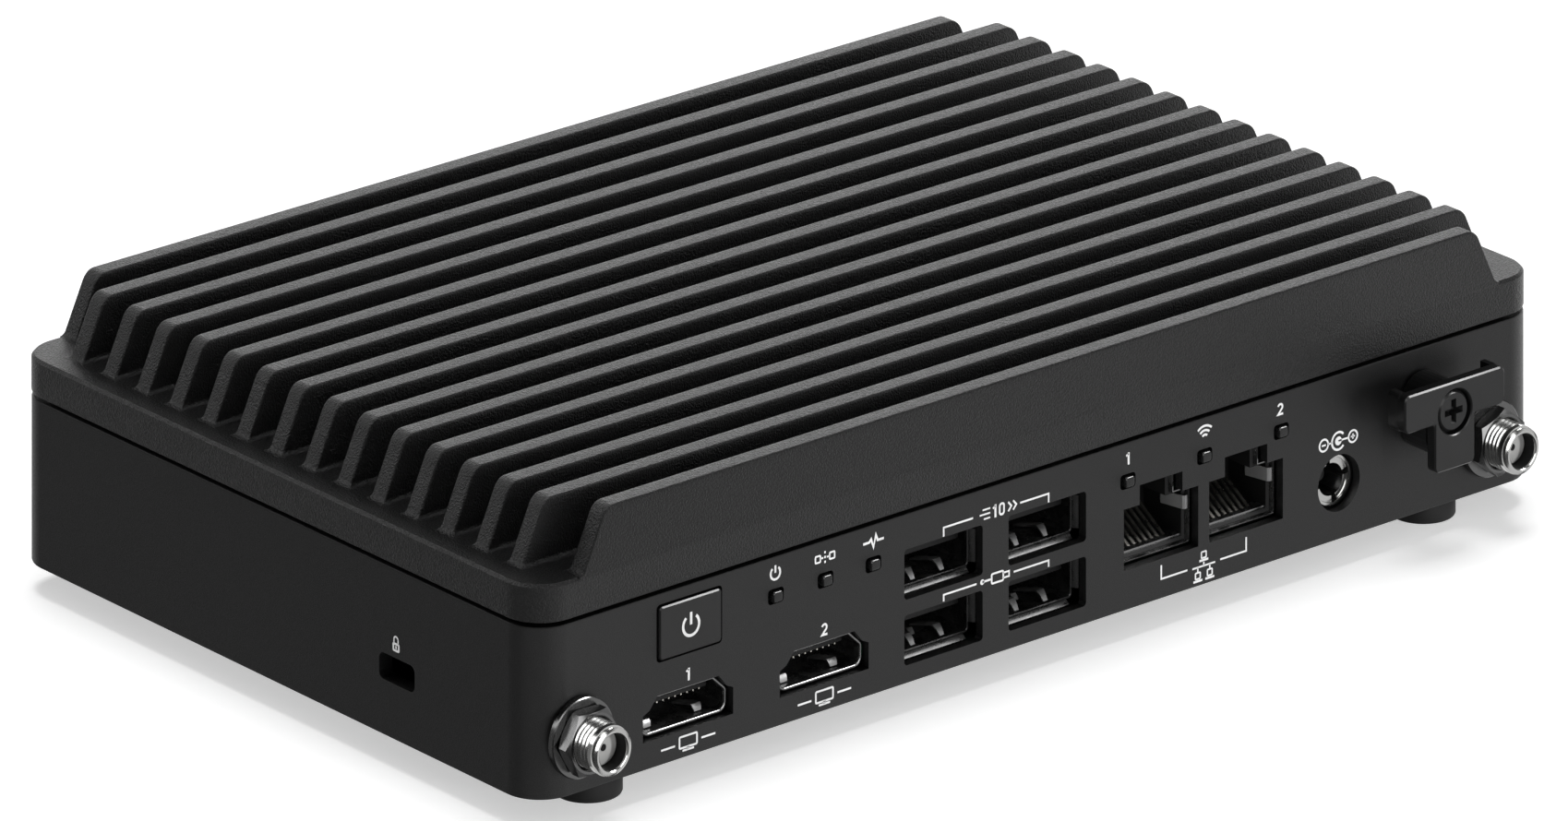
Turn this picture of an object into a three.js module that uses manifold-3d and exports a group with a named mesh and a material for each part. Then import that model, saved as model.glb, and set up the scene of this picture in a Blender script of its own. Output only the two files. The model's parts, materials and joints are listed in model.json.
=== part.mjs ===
// Fanless mini PC: a finned heat sink on a shallow chassis, with its ports, board and fastenings.
// Millimetres, +Z up. The front panel with the ports faces -Y.
import * as THREE from 'three';
import { mergeVertices } from 'three/addons/utils/BufferGeometryUtils.js';
import Module from 'manifold-3d';

const wasm = await Module();
wasm.setup();

// ---------------------------------------------------------------- driving dimensions

const WIDTH = 174;
const DEPTH = 108.5;
const CORNER = 5.5;
const FOOT_HEIGHT = 3.8;
const FRONT_REACH = 7;              // how far the antenna connectors stand out of the front face
const GAP = 0.3;                    // clearance between neighbouring pieces

// Heights below are measured from the underside of the chassis.
const CHASSIS_TOP = 22;
const SEAM = 0.45;
const SKIRT_BOTTOM = CHASSIS_TOP + SEAM;
const PLATE_TOP = 27.35;
const PLATE_CHAMFER = 0.55;
const FIN_TOP = 35.3;
const FIN_COUNT = 16;
const FIN_THICK = 2.8;
const FIN_BASE_HALF = 83.2;         // half length of a fin where it meets the plate
const END_FIN_BASE_HALF = 79;       // the first and last fins are shorter
const FIN_LEAN = 3.8;               // how far the fin ends lean in over their height
const FIN_CORNER = 1.3;

const WALL = 2.2;
const FRONT_WALL = 1.4;
const FLOOR = 1.2;
const INNER_CORNER = 1.2;           // tight, to leave room for the antenna connectors
const EDGE_ROUND = 0.3;
const CORNER_STEPS = 10;            // flats round each corner of the case
const CHASSIS_INSET = 0.04;         // the chassis sits a hair inside the heat sink's outline
const LIP_HEIGHT = 1.5;
const LIP_THICK = 1.2;

const FRONT = -DEPTH / 2;           // the outer face of the front panel
const BEHIND_FRONT = FRONT + FRONT_WALL + GAP;

const FOOT_X = 72.2;
const FOOT_Y = 46.9;
const FOOT_RADIUS = 4.5;
const FOOT_BORE = 3;
const SCREW_HEAD_RADIUS = 2.6;
const SCREW_SHANK_RADIUS = 1.45;
const COLUMN_RADIUS = 2.9;

const ROW_HEIGHT = 16.9;            // power button and indicator windows share one centre line
const BUTTON = { x: -61.4, width: 10.9, height: 7.4, proud: 0.3, round: 0.6 };
const LIGHT = { width: 2.65, height: 1.95, round: 0.5, proud: 0.55 };
const LIGHT_X = {
  power: -46.95,
  storage: -38.6,
  activity: -30.5,
  network_1: 13.3,
  wireless: 26.75,
  network_2: 40.3,
};

const VIDEO = { xs: [-61.6, -38.8], width: 15, bottom: 3.6, top: 9.05, shoulder: 7, topHalf: 5.1 };
const VIDEO_BODY_DEPTH = 11;
const USB = { xs: [-18.55, -0.7], width: 13.4, bottoms: [2.4, 10.9], height: 6.5 };
const USB_BODY_DEPTH = 16;
const NETWORK = { xs: [19.1, 34.05], width: 13.05, bottom: 5.3, top: 13.3, notchHalf: 3.75, notchTop: 15.85 };
const NETWORK_BODY_DEPTH = 15;
const INLET = { x: 50.55, z: 7.55, radius: 3.75, depth: 12 };
const ANTENNAS = { left: { x: -79.7, z: 7.3, turn: 0 }, right: { x: 77.3, z: 7.2, turn: 22.6 } };
const THREAD_RADIUS = 3.17;
const CLIP = { x: 65, z: 15.5, frontReach: 7, width: 18, top: 19.5, armBottom: 14.5, stemHalf: 3.6 };
const LOCK_SLOT = { y: -26.4, z: 8.9, width: 7.3, height: 3.4, round: 0.9 };

const BOARD = { bottom: 2.4, top: 4, xHalf: 80, front: -48, back: 50 };

// ---------------------------------------------------------------- materials

function finish(color, roughness, metalness) {
  return new THREE.MeshStandardMaterial({ color, roughness, metalness });
}

const MATERIALS = {
  heatSink: finish(0x2d2d2e, 0.72, 0.25),
  chassis: finish(0x2b2b2c, 0.68, 0.25),
  rubber: finish(0x171717, 0.9, 0),
  darkPlastic: finish(0x1d1d1e, 0.5, 0),
  lens: finish(0x252526, 0.35, 0),
  shell: finish(0xb9bbbd, 0.3, 1),
  nickel: finish(0xc4c4c2, 0.22, 1),
  gold: finish(0xd6b25c, 0.28, 1),
  steel: finish(0x9c9ea0, 0.35, 1),
  blackSteel: finish(0x222223, 0.45, 0.8),
  whitePlastic: finish(0xe8e8e4, 0.5, 0),
  board: finish(0x12281c, 0.6, 0),
  chip: finish(0x202124, 0.4, 0.2),
  pad: finish(0x8d93a0, 0.8, 0),
};

// ---------------------------------------------------------------- solids

function toSolid(geometry) {
  const plain = geometry.index ? geometry.clone() : geometry;
  plain.deleteAttribute('normal');
  plain.deleteAttribute('uv');
  const merged = mergeVertices(plain, 1e-5);
  return new wasm.Manifold(new wasm.Mesh({
    numProp: 3,
    vertProperties: new Float32Array(merged.attributes.position.array),
    triVerts: new Uint32Array(merged.index.array),
  }));
}

function toGeometry(solid) {
  const mesh = solid.getMesh();
  const geometry = new THREE.BufferGeometry();
  geometry.setAttribute('position', new THREE.BufferAttribute(mesh.vertProperties, 3));
  geometry.setIndex(new THREE.BufferAttribute(mesh.triVerts, 1));
  geometry.computeVertexNormals();
  return geometry;
}

function join(solids) {
  return solids.reduce((sum, solid) => sum.add(solid));
}

function cut(solid, tools) {
  return tools.reduce((rest, tool) => rest.subtract(tool), solid);
}

function box(x0, x1, y0, y1, z0, z1) {
  const geometry = new THREE.BoxGeometry(x1 - x0, y1 - y0, z1 - z0);
  geometry.translate((x0 + x1) / 2, (y0 + y1) / 2, (z0 + z1) / 2);
  return toSolid(geometry);
}

function roundRect(cx, cy, width, height, radius) {
  const x = width / 2 - radius;
  const y = height / 2 - radius;
  const shape = new THREE.Shape();
  shape.absarc(cx + x, cy + y, radius, 0, Math.PI / 2);
  shape.absarc(cx - x, cy + y, radius, Math.PI / 2, Math.PI);
  shape.absarc(cx - x, cy - y, radius, Math.PI, Math.PI * 1.5);
  shape.absarc(cx + x, cy - y, radius, Math.PI * 1.5, Math.PI * 2);
  return shape;
}

function outline(points) {
  return new THREE.Shape(points.map(([x, y]) => new THREE.Vector2(x, y)));
}

function bevelOptions(depth, bevel, steps, segments) {
  return {
    depth: depth - 2 * bevel,
    curveSegments: segments,
    bevelEnabled: bevel > 0,
    bevelThickness: bevel,
    bevelSize: bevel,
    bevelOffset: -bevel,
    bevelSegments: steps,
  };
}

// A shape drawn in X and Y, standing from z0 to z1.
function prismZ(shape, z0, z1, { bevel = 0, steps = 1, segments = 3 } = {}) {
  const geometry = new THREE.ExtrudeGeometry(shape, bevelOptions(z1 - z0, bevel, steps, segments));
  geometry.translate(0, 0, z0 + bevel);
  return toSolid(geometry);
}

// A shape drawn in X and Z, reaching from y0 to y1.
function prismY(shape, y0, y1, { bevel = 0, steps = 1, segments = 3 } = {}) {
  const geometry = new THREE.ExtrudeGeometry(shape, bevelOptions(y1 - y0, bevel, steps, segments));
  geometry.rotateX(Math.PI / 2);
  geometry.translate(0, y1 - bevel, 0);
  return toSolid(geometry);
}

// A shape drawn in Y and Z, reaching from x0 to x1.
function prismX(shape, x0, x1, segments = 3) {
  const geometry = new THREE.ExtrudeGeometry(shape, bevelOptions(x1 - x0, 0, 1, segments));
  const turn = new THREE.Matrix4().makeBasis(
    new THREE.Vector3(0, 1, 0),
    new THREE.Vector3(0, 0, 1),
    new THREE.Vector3(1, 0, 0),
  );
  geometry.applyMatrix4(turn);
  geometry.translate(x0, 0, 0);
  return toSolid(geometry);
}

function rodZ(radius, x, y, z0, z1, sides = 20) {
  const geometry = new THREE.CylinderGeometry(radius, radius, z1 - z0, sides);
  geometry.rotateX(Math.PI / 2);
  geometry.translate(x, y, (z0 + z1) / 2);
  return toSolid(geometry);
}

function rodY(radius, x, z, y0, y1, sides = 24, turn = 0) {
  const geometry = new THREE.CylinderGeometry(radius, radius, y1 - y0, sides);
  geometry.rotateY(turn);
  geometry.translate(x, (y0 + y1) / 2, z);
  return toSolid(geometry);
}

// Profile points in the order that makes the turned surface face outwards.
function turningOrder(profile) {
  const area = profile.reduce((sum, [x, y], i) => {
    const [nextX, nextY] = profile[(i + 1) % profile.length];
    return sum + x * nextY - nextX * y;
  }, 0);
  const points = profile.map(([x, y]) => new THREE.Vector2(x, y));
  return area > 0 ? points : points.reverse();
}

// A solid of revolution about the line through x, z along Y; the profile holds [radius, y] pairs.
function turnedY(profile, x, z, sides = 24) {
  const geometry = new THREE.LatheGeometry(turningOrder(profile), sides);
  geometry.translate(x, 0, z);
  return toSolid(geometry);
}

// A solid of revolution about the upright line through x, y; the profile holds [radius, z] pairs.
function turnedZ(profile, x, y, sides = 24) {
  const geometry = new THREE.LatheGeometry(turningOrder(profile), sides);
  geometry.rotateX(Math.PI / 2);
  geometry.translate(x, y, 0);
  return toSolid(geometry);
}

// ---------------------------------------------------------------- the assembly

const unit = new THREE.Group();
unit.position.set(0, FRONT_REACH / 2, FOOT_HEIGHT);

function addNode(name, solid, material) {
  const mesh = new THREE.Mesh(toGeometry(solid), material);
  mesh.name = name;
  unit.add(mesh);
}

const CORNERS = [
  ['front_left', -1, -1],
  ['front_right', 1, -1],
  ['rear_left', -1, 1],
  ['rear_right', 1, 1],
];

// The footprint of the case, drawn in by the same inset on every side.
function footprint(inset) {
  return roundRect(0, 0, WIDTH - 2 * inset, DEPTH - 2 * inset, Math.max(CORNER - inset, 1));
}

// ---------------------------------------------------------------- heat sink

const CAVITY_TOP = 24.8;
const PEDESTAL = { x: 18, y: 10, halfWidth: 17, halfDepth: 15 };
const PROCESSOR_TOP = 6.4;
const PAD_TOP = PROCESSOR_TOP + GAP + 1;

// Fin seen from the front: a long bar whose ends lean in and whose top corners are rounded.
function finOutline(baseHalf, bottom) {
  const slope = FIN_LEAN / (FIN_TOP - PLATE_TOP);
  const topHalf = baseHalf - FIN_LEAN;
  const bottomHalf = baseHalf + slope * (PLATE_TOP - bottom);
  const lean = Math.atan(slope);
  const setback = FIN_CORNER * Math.tan((Math.PI / 2 - lean) / 2);
  const shape = new THREE.Shape();
  shape.moveTo(-bottomHalf, bottom);
  shape.lineTo(bottomHalf, bottom);
  shape.absarc(topHalf - setback, FIN_TOP - FIN_CORNER, FIN_CORNER, lean, Math.PI / 2);
  shape.absarc(setback - topHalf, FIN_TOP - FIN_CORNER, FIN_CORNER, Math.PI / 2, Math.PI - lean);
  return shape;
}

function finRow() {
  const pitch = (DEPTH - FIN_THICK) / (FIN_COUNT - 1);
  const fins = [];
  for (let i = 0; i < FIN_COUNT; i += 1) {
    const outer = i === 0 || i === FIN_COUNT - 1;
    const half = outer ? END_FIN_BASE_HALF : FIN_BASE_HALF;
    const y = FRONT + i * pitch;
    fins.push(prismY(finOutline(half, PLATE_TOP - PLATE_CHAMFER), y, y + FIN_THICK, { segments: 2 }));
  }
  return fins;
}

function plateAndSkirt() {
  const bevelled = prismZ(footprint(0), SKIRT_BOTTOM - 2, PLATE_TOP, {
    bevel: PLATE_CHAMFER, segments: CORNER_STEPS,
  });
  const trim = box(-WIDTH, WIDTH, -DEPTH, DEPTH, SKIRT_BOTTOM - 4, SKIRT_BOTTOM);
  const cavity = prismZ(footprint(WALL), SKIRT_BOTTOM - 4, CAVITY_TOP);
  return cut(bevelled, [trim, cavity]);
}

function heatSink() {
  const { x, y, halfWidth, halfDepth } = PEDESTAL;
  const pedestal = box(
    x - halfWidth, x + halfWidth,
    y - halfDepth, y + halfDepth,
    PAD_TOP + GAP, CAVITY_TOP + 1,
  );
  const bosses = CORNERS.map(([, sx, sy]) => (
    rodZ(COLUMN_RADIUS, sx * FOOT_X, sy * FOOT_Y, SKIRT_BOTTOM, CAVITY_TOP + 1)
  ));
  const pilots = CORNERS.map(([, sx, sy]) => (
    rodZ(SCREW_SHANK_RADIUS + GAP, sx * FOOT_X, sy * FOOT_Y, SKIRT_BOTTOM - 1, CAVITY_TOP + 1.2, 12)
  ));
  return cut(join([plateAndSkirt(), pedestal, ...bosses, ...finRow()]), pilots);
}

// ---------------------------------------------------------------- lower chassis

function panelCut(shape) {
  return prismY(shape, FRONT - 1, FRONT + FRONT_WALL + 1);
}

function videoOutline(x, grow) {
  const half = VIDEO.width / 2 + grow;
  const top = VIDEO.topHalf + grow;
  return outline([
    [x - half, VIDEO.bottom - grow],
    [x + half, VIDEO.bottom - grow],
    [x + half, VIDEO.shoulder],
    [x + half - 1.1, VIDEO.shoulder + 0.5],
    [x + top, VIDEO.top + grow],
    [x - top, VIDEO.top + grow],
    [x - half + 1.1, VIDEO.shoulder + 0.5],
    [x - half, VIDEO.shoulder],
  ]);
}

// The T of a network socket: the plug's body with the notch for its latch above.
function networkOutline(x, grow) {
  const half = NETWORK.width / 2 + grow;
  const notch = NETWORK.notchHalf + grow;
  return outline([
    [x - half, NETWORK.bottom - grow],
    [x + half, NETWORK.bottom - grow],
    [x + half, NETWORK.top + grow],
    [x + notch, NETWORK.top + grow],
    [x + notch, NETWORK.notchTop + grow],
    [x - notch, NETWORK.notchTop + grow],
    [x - notch, NETWORK.top + grow],
    [x - half, NETWORK.top + grow],
  ]);
}

function frontCuts() {
  const button = roundRect(BUTTON.x, ROW_HEIGHT, BUTTON.width, BUTTON.height, BUTTON.round);
  const lights = Object.values(LIGHT_X).map((x) => (
    roundRect(x, ROW_HEIGHT, LIGHT.width, LIGHT.height, LIGHT.round)
  ));
  const usb = USB.xs.flatMap((x) => USB.bottoms.map((z) => (
    roundRect(x, z + USB.height / 2, USB.width, USB.height, 0.5)
  )));
  const shapes = [
    button,
    ...lights,
    ...usb,
    ...VIDEO.xs.map((x) => videoOutline(x, 0)),
    ...NETWORK.xs.map((x) => networkOutline(x, 0)),
  ];
  const antennas = Object.values(ANTENNAS).map(({ x, z }) => (
    rodY(THREAD_RADIUS + GAP, x, z, FRONT - 1, FRONT + FRONT_WALL + 1)
  ));
  return [
    ...shapes.map(panelCut),
    ...antennas,
    rodY(INLET.radius, INLET.x, INLET.z, FRONT - 1, FRONT + FRONT_WALL + 1, 32),
    rodY(1.5 + GAP, CLIP.x, CLIP.z, FRONT - 1, FRONT + FRONT_WALL + 1, 16),
  ];
}

function chassisShell() {
  const plan = footprint(CHASSIS_INSET);
  const rounded = { bevel: EDGE_ROUND, steps: 2, segments: CORNER_STEPS };
  const roundedBelow = prismZ(plan, 0, CHASSIS_TOP + 3, rounded);
  const roundedAbove = prismZ(plan, -3, CHASSIS_TOP, rounded);
  const inner = roundRect(
    0, (FRONT_WALL - WALL) / 2,
    WIDTH - 2 * WALL, DEPTH - FRONT_WALL - WALL, INNER_CORNER,
  );
  return cut(roundedBelow.intersect(roundedAbove), [prismZ(inner, FLOOR, CHASSIS_TOP + 6)]);
}

// A ring that stands up behind the seam and keeps the heat sink in line.
function seamLip() {
  const inset = WALL + GAP;
  const bottom = ROW_HEIGHT + BUTTON.height / 2 + 0.4;
  const ledge = prismZ(footprint(0.5), bottom, CHASSIS_TOP - 0.2);
  const lip = prismZ(footprint(inset), CHASSIS_TOP - 0.5, CHASSIS_TOP + LIP_HEIGHT);
  const hollow = prismZ(footprint(inset + LIP_THICK), bottom - 1, CHASSIS_TOP + LIP_HEIGHT + 1);
  return cut(join([ledge, lip]), [hollow]);
}

function screwColumns() {
  return CORNERS.map(([, sx, sy]) => (
    rodZ(COLUMN_RADIUS, sx * FOOT_X, sy * FOOT_Y, FLOOR - 0.2, CHASSIS_TOP)
  ));
}

const BOARD_SCREWS = [[-74, -36], [74, -36], [-74, 38], [74, 38]];

function boardPosts() {
  return BOARD_SCREWS.map(([x, y]) => rodZ(3, x, y, FLOOR - 0.2, BOARD.bottom - GAP, 16));
}

function lowerChassis() {
  const columns = screwColumns();
  const columnRelief = CORNERS.map(([, sx, sy]) => (
    rodZ(COLUMN_RADIUS + GAP, sx * FOOT_X, sy * FOOT_Y, CHASSIS_TOP, CHASSIS_TOP + LIP_HEIGHT + 1)
  ));
  const screwHoles = CORNERS.map(([, sx, sy]) => (
    rodZ(SCREW_SHANK_RADIUS + GAP, sx * FOOT_X, sy * FOOT_Y, -1, CHASSIS_TOP + 1, 12)
  ));
  const postHoles = BOARD_SCREWS.map(([x, y]) => rodZ(1.25 + GAP, x, y, -1, BOARD.bottom, 12));
  const lock = prismX(
    roundRect(LOCK_SLOT.y, LOCK_SLOT.z, LOCK_SLOT.width, LOCK_SLOT.height, LOCK_SLOT.round),
    -WIDTH / 2 - 1, -WIDTH / 2 + WALL + 1,
  );
  const body = join([chassisShell(), cut(seamLip(), columnRelief), ...columns, ...boardPosts()]);
  return cut(body, [...screwHoles, ...postHoles, lock, ...frontCuts()]);
}

// ---------------------------------------------------------------- feet and case screws

function foot(x, y) {
  const round = 0.35;
  return turnedZ([
    [FOOT_BORE, -FOOT_HEIGHT],
    [FOOT_RADIUS - round, -FOOT_HEIGHT],
    [FOOT_RADIUS, round - FOOT_HEIGHT],
    [FOOT_RADIUS, -GAP],
    [FOOT_BORE, -GAP],
    [FOOT_BORE, -FOOT_HEIGHT],
  ], x, y, 28);
}

// Long screw from inside the foot up into the heat sink, its socket open below.
function caseScrew(x, y) {
  const headBottom = -2.2;
  const blank = turnedZ([
    [0, headBottom],
    [SCREW_HEAD_RADIUS, headBottom],
    [SCREW_HEAD_RADIUS, -GAP],
    [SCREW_SHANK_RADIUS, -GAP],
    [SCREW_SHANK_RADIUS, CAVITY_TOP + 0.8],
    [0, CAVITY_TOP + 0.8],
  ], x, y, 20);
  const cross = join([
    box(x - 1.5, x + 1.5, y - 0.35, y + 0.35, headBottom - 1, headBottom + 1),
    box(x - 0.35, x + 0.35, y - 1.5, y + 1.5, headBottom - 1, headBottom + 1),
  ]);
  return cut(blank, [cross]);
}

// ---------------------------------------------------------------- power button and indicators

const BUTTON_TRAVEL = 0.5;
const FLANGE = { back: 1.2, grow: 1.1 };
const SWITCH_FRONT = BEHIND_FRONT + FLANGE.back + 2.2;

function powerButton() {
  const cap = roundRect(
    BUTTON.x, ROW_HEIGHT,
    BUTTON.width - 2 * GAP, BUTTON.height - 2 * GAP, BUTTON.round,
  );
  const flange = roundRect(
    BUTTON.x, ROW_HEIGHT - 0.35,
    BUTTON.width + FLANGE.grow, BUTTON.height + FLANGE.grow - 0.7, BUTTON.round,
  );
  return join([
    prismY(cap, FRONT - BUTTON.proud, BEHIND_FRONT + 0.8, { bevel: 0.25, steps: 2 }),
    prismY(flange, BEHIND_FRONT, BEHIND_FRONT + FLANGE.back),
  ]);
}

function switchPlunger() {
  const start = BEHIND_FRONT + FLANGE.back + GAP;
  return rodY(1.3, BUTTON.x, ROW_HEIGHT - 1, start, SWITCH_FRONT + 1, 20);
}

function powerSwitch() {
  const z = ROW_HEIGHT - 1;
  const body = box(BUTTON.x - 3, BUTTON.x + 3, SWITCH_FRONT, SWITCH_FRONT + 3.6, z - 3, z + 2);
  const bore = rodY(1.3 + GAP, BUTTON.x, z, SWITCH_FRONT - 1, SWITCH_FRONT + 1 + GAP + BUTTON_TRAVEL, 20);
  return cut(body, [bore]);
}

// Clear rod whose rounded nose stands a little out of its window; a collar behind the panel holds it.
function lightPipe(x) {
  const nose = roundRect(x, ROW_HEIGHT, LIGHT.width - 2 * GAP, LIGHT.height - 2 * GAP, 0.45);
  const collar = roundRect(x, ROW_HEIGHT, LIGHT.width + 0.6, LIGHT.height + 0.2, 0.45);
  return join([
    prismY(nose, FRONT - LIGHT.proud, BEHIND_FRONT + 3.4, { bevel: 0.25 }),
    prismY(collar, BEHIND_FRONT, BEHIND_FRONT + 0.8),
  ]);
}

function indicatorBoard() {
  const bottom = ROW_HEIGHT + LIGHT.height / 2 + 0.7;
  const front = FRONT + 5.6;
  const sheet = box(BUTTON.x - 5, LIGHT_X.network_2 + 5, front, front + 8, bottom, bottom + 1.2);
  const lamps = Object.values(LIGHT_X).map((x) => (
    box(x - 1, x + 1, front + 0.2, front + 2.4, ROW_HEIGHT - 0.7, bottom + 0.3)
  ));
  return join([sheet, ...lamps]);
}

// ---------------------------------------------------------------- sockets

function videoShell(x) {
  const sheet = 0.35;
  const outer = prismY(videoOutline(x, -0.05), BEHIND_FRONT, BEHIND_FRONT + VIDEO_BODY_DEPTH);
  const inner = prismY(
    videoOutline(x, -0.05 - sheet),
    BEHIND_FRONT - 1, BEHIND_FRONT + VIDEO_BODY_DEPTH - 1,
  );
  const slot = box(
    x - 4, x + 4,
    BEHIND_FRONT + VIDEO_BODY_DEPTH - 2, BEHIND_FRONT + VIDEO_BODY_DEPTH + 1,
    VIDEO.top - 2.6, VIDEO.top - 1,
  );
  return cut(outer, [inner, slot]);
}

function videoTongue(x) {
  const top = VIDEO.top - 1.25;
  const tongue = roundRect(x, top - 0.5, 7.4, 1, 0.2);
  const back = BEHIND_FRONT + VIDEO_BODY_DEPTH;
  return join([
    prismY(tongue, BEHIND_FRONT + 1.6, back + 1, { segments: 1 }),
    box(x - 6, x + 6, back + GAP, back + 2, BOARD.top - 1, VIDEO.top - 0.4),
  ]);
}

function usbTunnel(z) {
  return { bottom: z + 0.75, top: z + 5.85 };
}

function usbShell(x) {
  const half = 6.6;
  const back = BEHIND_FRONT + USB_BODY_DEPTH;
  const outer = box(x - half, x + half, BEHIND_FRONT, back, USB.bottoms[0] - 0.05, USB.bottoms[1] + USB.height);
  const tunnels = USB.bottoms.map((z) => {
    const { bottom, top } = usbTunnel(z);
    return box(x - half + 0.35, x + half - 0.35, BEHIND_FRONT - 1, back + 1, bottom, top);
  });
  return cut(outer, tunnels);
}

// Insulator of one stack: a back plate, two plugs that fill the tunnels' far ends, and two tongues.
function usbInsert(x) {
  const back = BEHIND_FRONT + USB_BODY_DEPTH;
  const plate = box(x - 6.4, x + 6.4, back + GAP, back + 1.5, USB.bottoms[0], USB.bottoms[1] + USB.height);
  const blocks = USB.bottoms.flatMap((z) => {
    const { bottom, top } = usbTunnel(z);
    return [
      box(x - 5.9, x + 5.9, back - 4, back + 1, bottom + GAP, top - GAP),
      box(x - 5.5, x + 5.5, BEHIND_FRONT + 1.8, back, top - GAP - 1.9, top - GAP),
    ];
  });
  return join([plate, ...blocks]);
}

function networkShell(x) {
  const back = BEHIND_FRONT + NETWORK_BODY_DEPTH;
  const tunnel = prismY(networkOutline(x, -0.3), BEHIND_FRONT - 1, back + 1);
  return cut(prismY(networkOutline(x, 0.05), BEHIND_FRONT, back), [tunnel]);
}

// Housing at the back of the socket, with the slanted comb that carries the contact wires.
function networkInsert(x) {
  const back = BEHIND_FRONT + NETWORK_BODY_DEPTH;
  const start = BEHIND_FRONT + 8.5;
  const block = prismY(networkOutline(x, -0.3 - GAP), start, back + 1);
  const low = NETWORK.bottom + 0.3 + GAP;
  const comb = prismX(outline([
    [BEHIND_FRONT + 2.4, low],
    [start + 1, low],
    [start + 1, low + 2],
    [start, low + 2],
    [BEHIND_FRONT + 2.4, low + 0.4],
  ]), x - 4.3, x + 4.3);
  return join([block, comb]);
}

function inletBody() {
  const back = BEHIND_FRONT + INLET.depth;
  const block = box(INLET.x - 4.6, INLET.x + 4.6, BEHIND_FRONT, back, BOARD.top + GAP, INLET.z + 4.6);
  const nose = rodY(4.1, INLET.x, INLET.z, BEHIND_FRONT, back - 2, 32);
  const bore = rodY(3.75, INLET.x, INLET.z, BEHIND_FRONT - 1, back - 1.5, 32);
  return cut(join([block, nose]), [bore]);
}

function inletSleeve() {
  const front = BEHIND_FRONT + 0.1;
  return turnedY([
    [3.05, front],
    [3.45, front],
    [3.45, front + 7],
    [3.05, front + 7],
    [3.05, front],
  ], INLET.x, INLET.z, 32);
}

function inletPin() {
  const front = FRONT + 3.7;
  const back = BEHIND_FRONT + INLET.depth - 1.8;
  return turnedY([
    [0, front],
    [0.7, front],
    [1, front + 0.4],
    [1, back],
    [0, back],
  ], INLET.x, INLET.z, 20);
}

// ---------------------------------------------------------------- antenna connectors

const ANTENNA_BACK = BEHIND_FRONT + 3.6;

function antennaConnector({ x, z }) {
  const tip = FRONT - FRONT_REACH;
  const bore = 2.32;
  return turnedY([
    [bore, tip],
    [THREAD_RADIUS - 0.45, tip],
    [THREAD_RADIUS, tip + 0.5],
    [THREAD_RADIUS, BEHIND_FRONT],
    [4.1, BEHIND_FRONT],
    [4.1, BEHIND_FRONT + 1.6],
    [2.6, BEHIND_FRONT + 1.6],
    [2.6, ANTENNA_BACK],
    [0, ANTENNA_BACK],
    [0, FRONT - 0.6],
    [bore, FRONT - 0.6],
    [bore, tip],
  ], x, z, 28);
}

function antennaInsulator({ x, z }) {
  const front = FRONT - FRONT_REACH + 2.1;
  const core = 2.32 - GAP;
  return turnedY([
    [0, front + 1.6],
    [0.45, front + 1.6],
    [0.45, front],
    [core, front],
    [core, FRONT - 0.6 - GAP],
    [0, FRONT - 0.6 - GAP],
  ], x, z, 24);
}

const WASHER = { radius: 5.1, thick: 0.7 };
const NUT = { cornerRadius: 4.5, thick: 1.9 };

function ringY(x, z, outer, inner, y0, y1, sides) {
  return turnedY([
    [inner, y0],
    [outer, y0],
    [outer, y1],
    [inner, y1],
    [inner, y0],
  ], x, z, sides);
}

function antennaWasher({ x, z }) {
  const back = FRONT - GAP;
  return ringY(x, z, WASHER.radius, THREAD_RADIUS + GAP, back - WASHER.thick, back, 32);
}

function antennaNut({ x, z, turn }) {
  const back = FRONT - GAP - WASHER.thick - GAP;
  const angle = THREE.MathUtils.degToRad(90 + turn);
  const hexagon = rodY(NUT.cornerRadius, x, z, back - NUT.thick, back, 6, -angle);
  return cut(hexagon, [rodY(THREAD_RADIUS + GAP, x, z, back - NUT.thick - 1, back + 1, 28)]);
}

// ---------------------------------------------------------------- cable clip

// T-shaped front plate with folded ends, held off the panel by an oval boss.
function cableClip() {
  const front = FRONT - CLIP.frontReach;
  const sheet = 1.2;
  const flangeDepth = 3.4;
  const half = CLIP.width / 2;
  const armHeight = CLIP.top - CLIP.armBottom;
  const arm = roundRect(CLIP.x, CLIP.top - armHeight / 2, CLIP.width, armHeight, 0.9);
  const stemBottom = 8;
  const stemHeight = CLIP.top - 2 - stemBottom;
  const stem = roundRect(CLIP.x, stemBottom + stemHeight / 2, 2 * CLIP.stemHalf, stemHeight, 0.8);
  const ends = [-1, 1].map((side) => {
    const block = prismY(arm, front, front + flangeDepth);
    const inside = CLIP.x + side * (half - 1.35);
    const keep = side < 0
      ? box(CLIP.x - half - 1, inside, front - 1, front + 9, CLIP.armBottom - 1, CLIP.top + 1)
      : box(inside, CLIP.x + half + 1, front - 1, front + 9, CLIP.armBottom - 1, CLIP.top + 1);
    return block.intersect(keep);
  });
  const boss = roundRect(CLIP.x, CLIP.z - 1.4, 2 * CLIP.stemHalf, 10, CLIP.stemHalf - 0.05);
  const body = join([
    prismY(arm, front, front + sheet),
    prismY(stem, front, front + 1.6),
    prismY(boss, front + 0.5, FRONT - GAP, { segments: 5 }),
    ...ends,
  ]);
  return cut(body, [
    rodY(3, CLIP.x, CLIP.z, front - 1, front + 1.9, 28),
    rodY(1.5 + GAP, CLIP.x, CLIP.z, front - 1, FRONT + 1, 16),
  ]);
}

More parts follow.
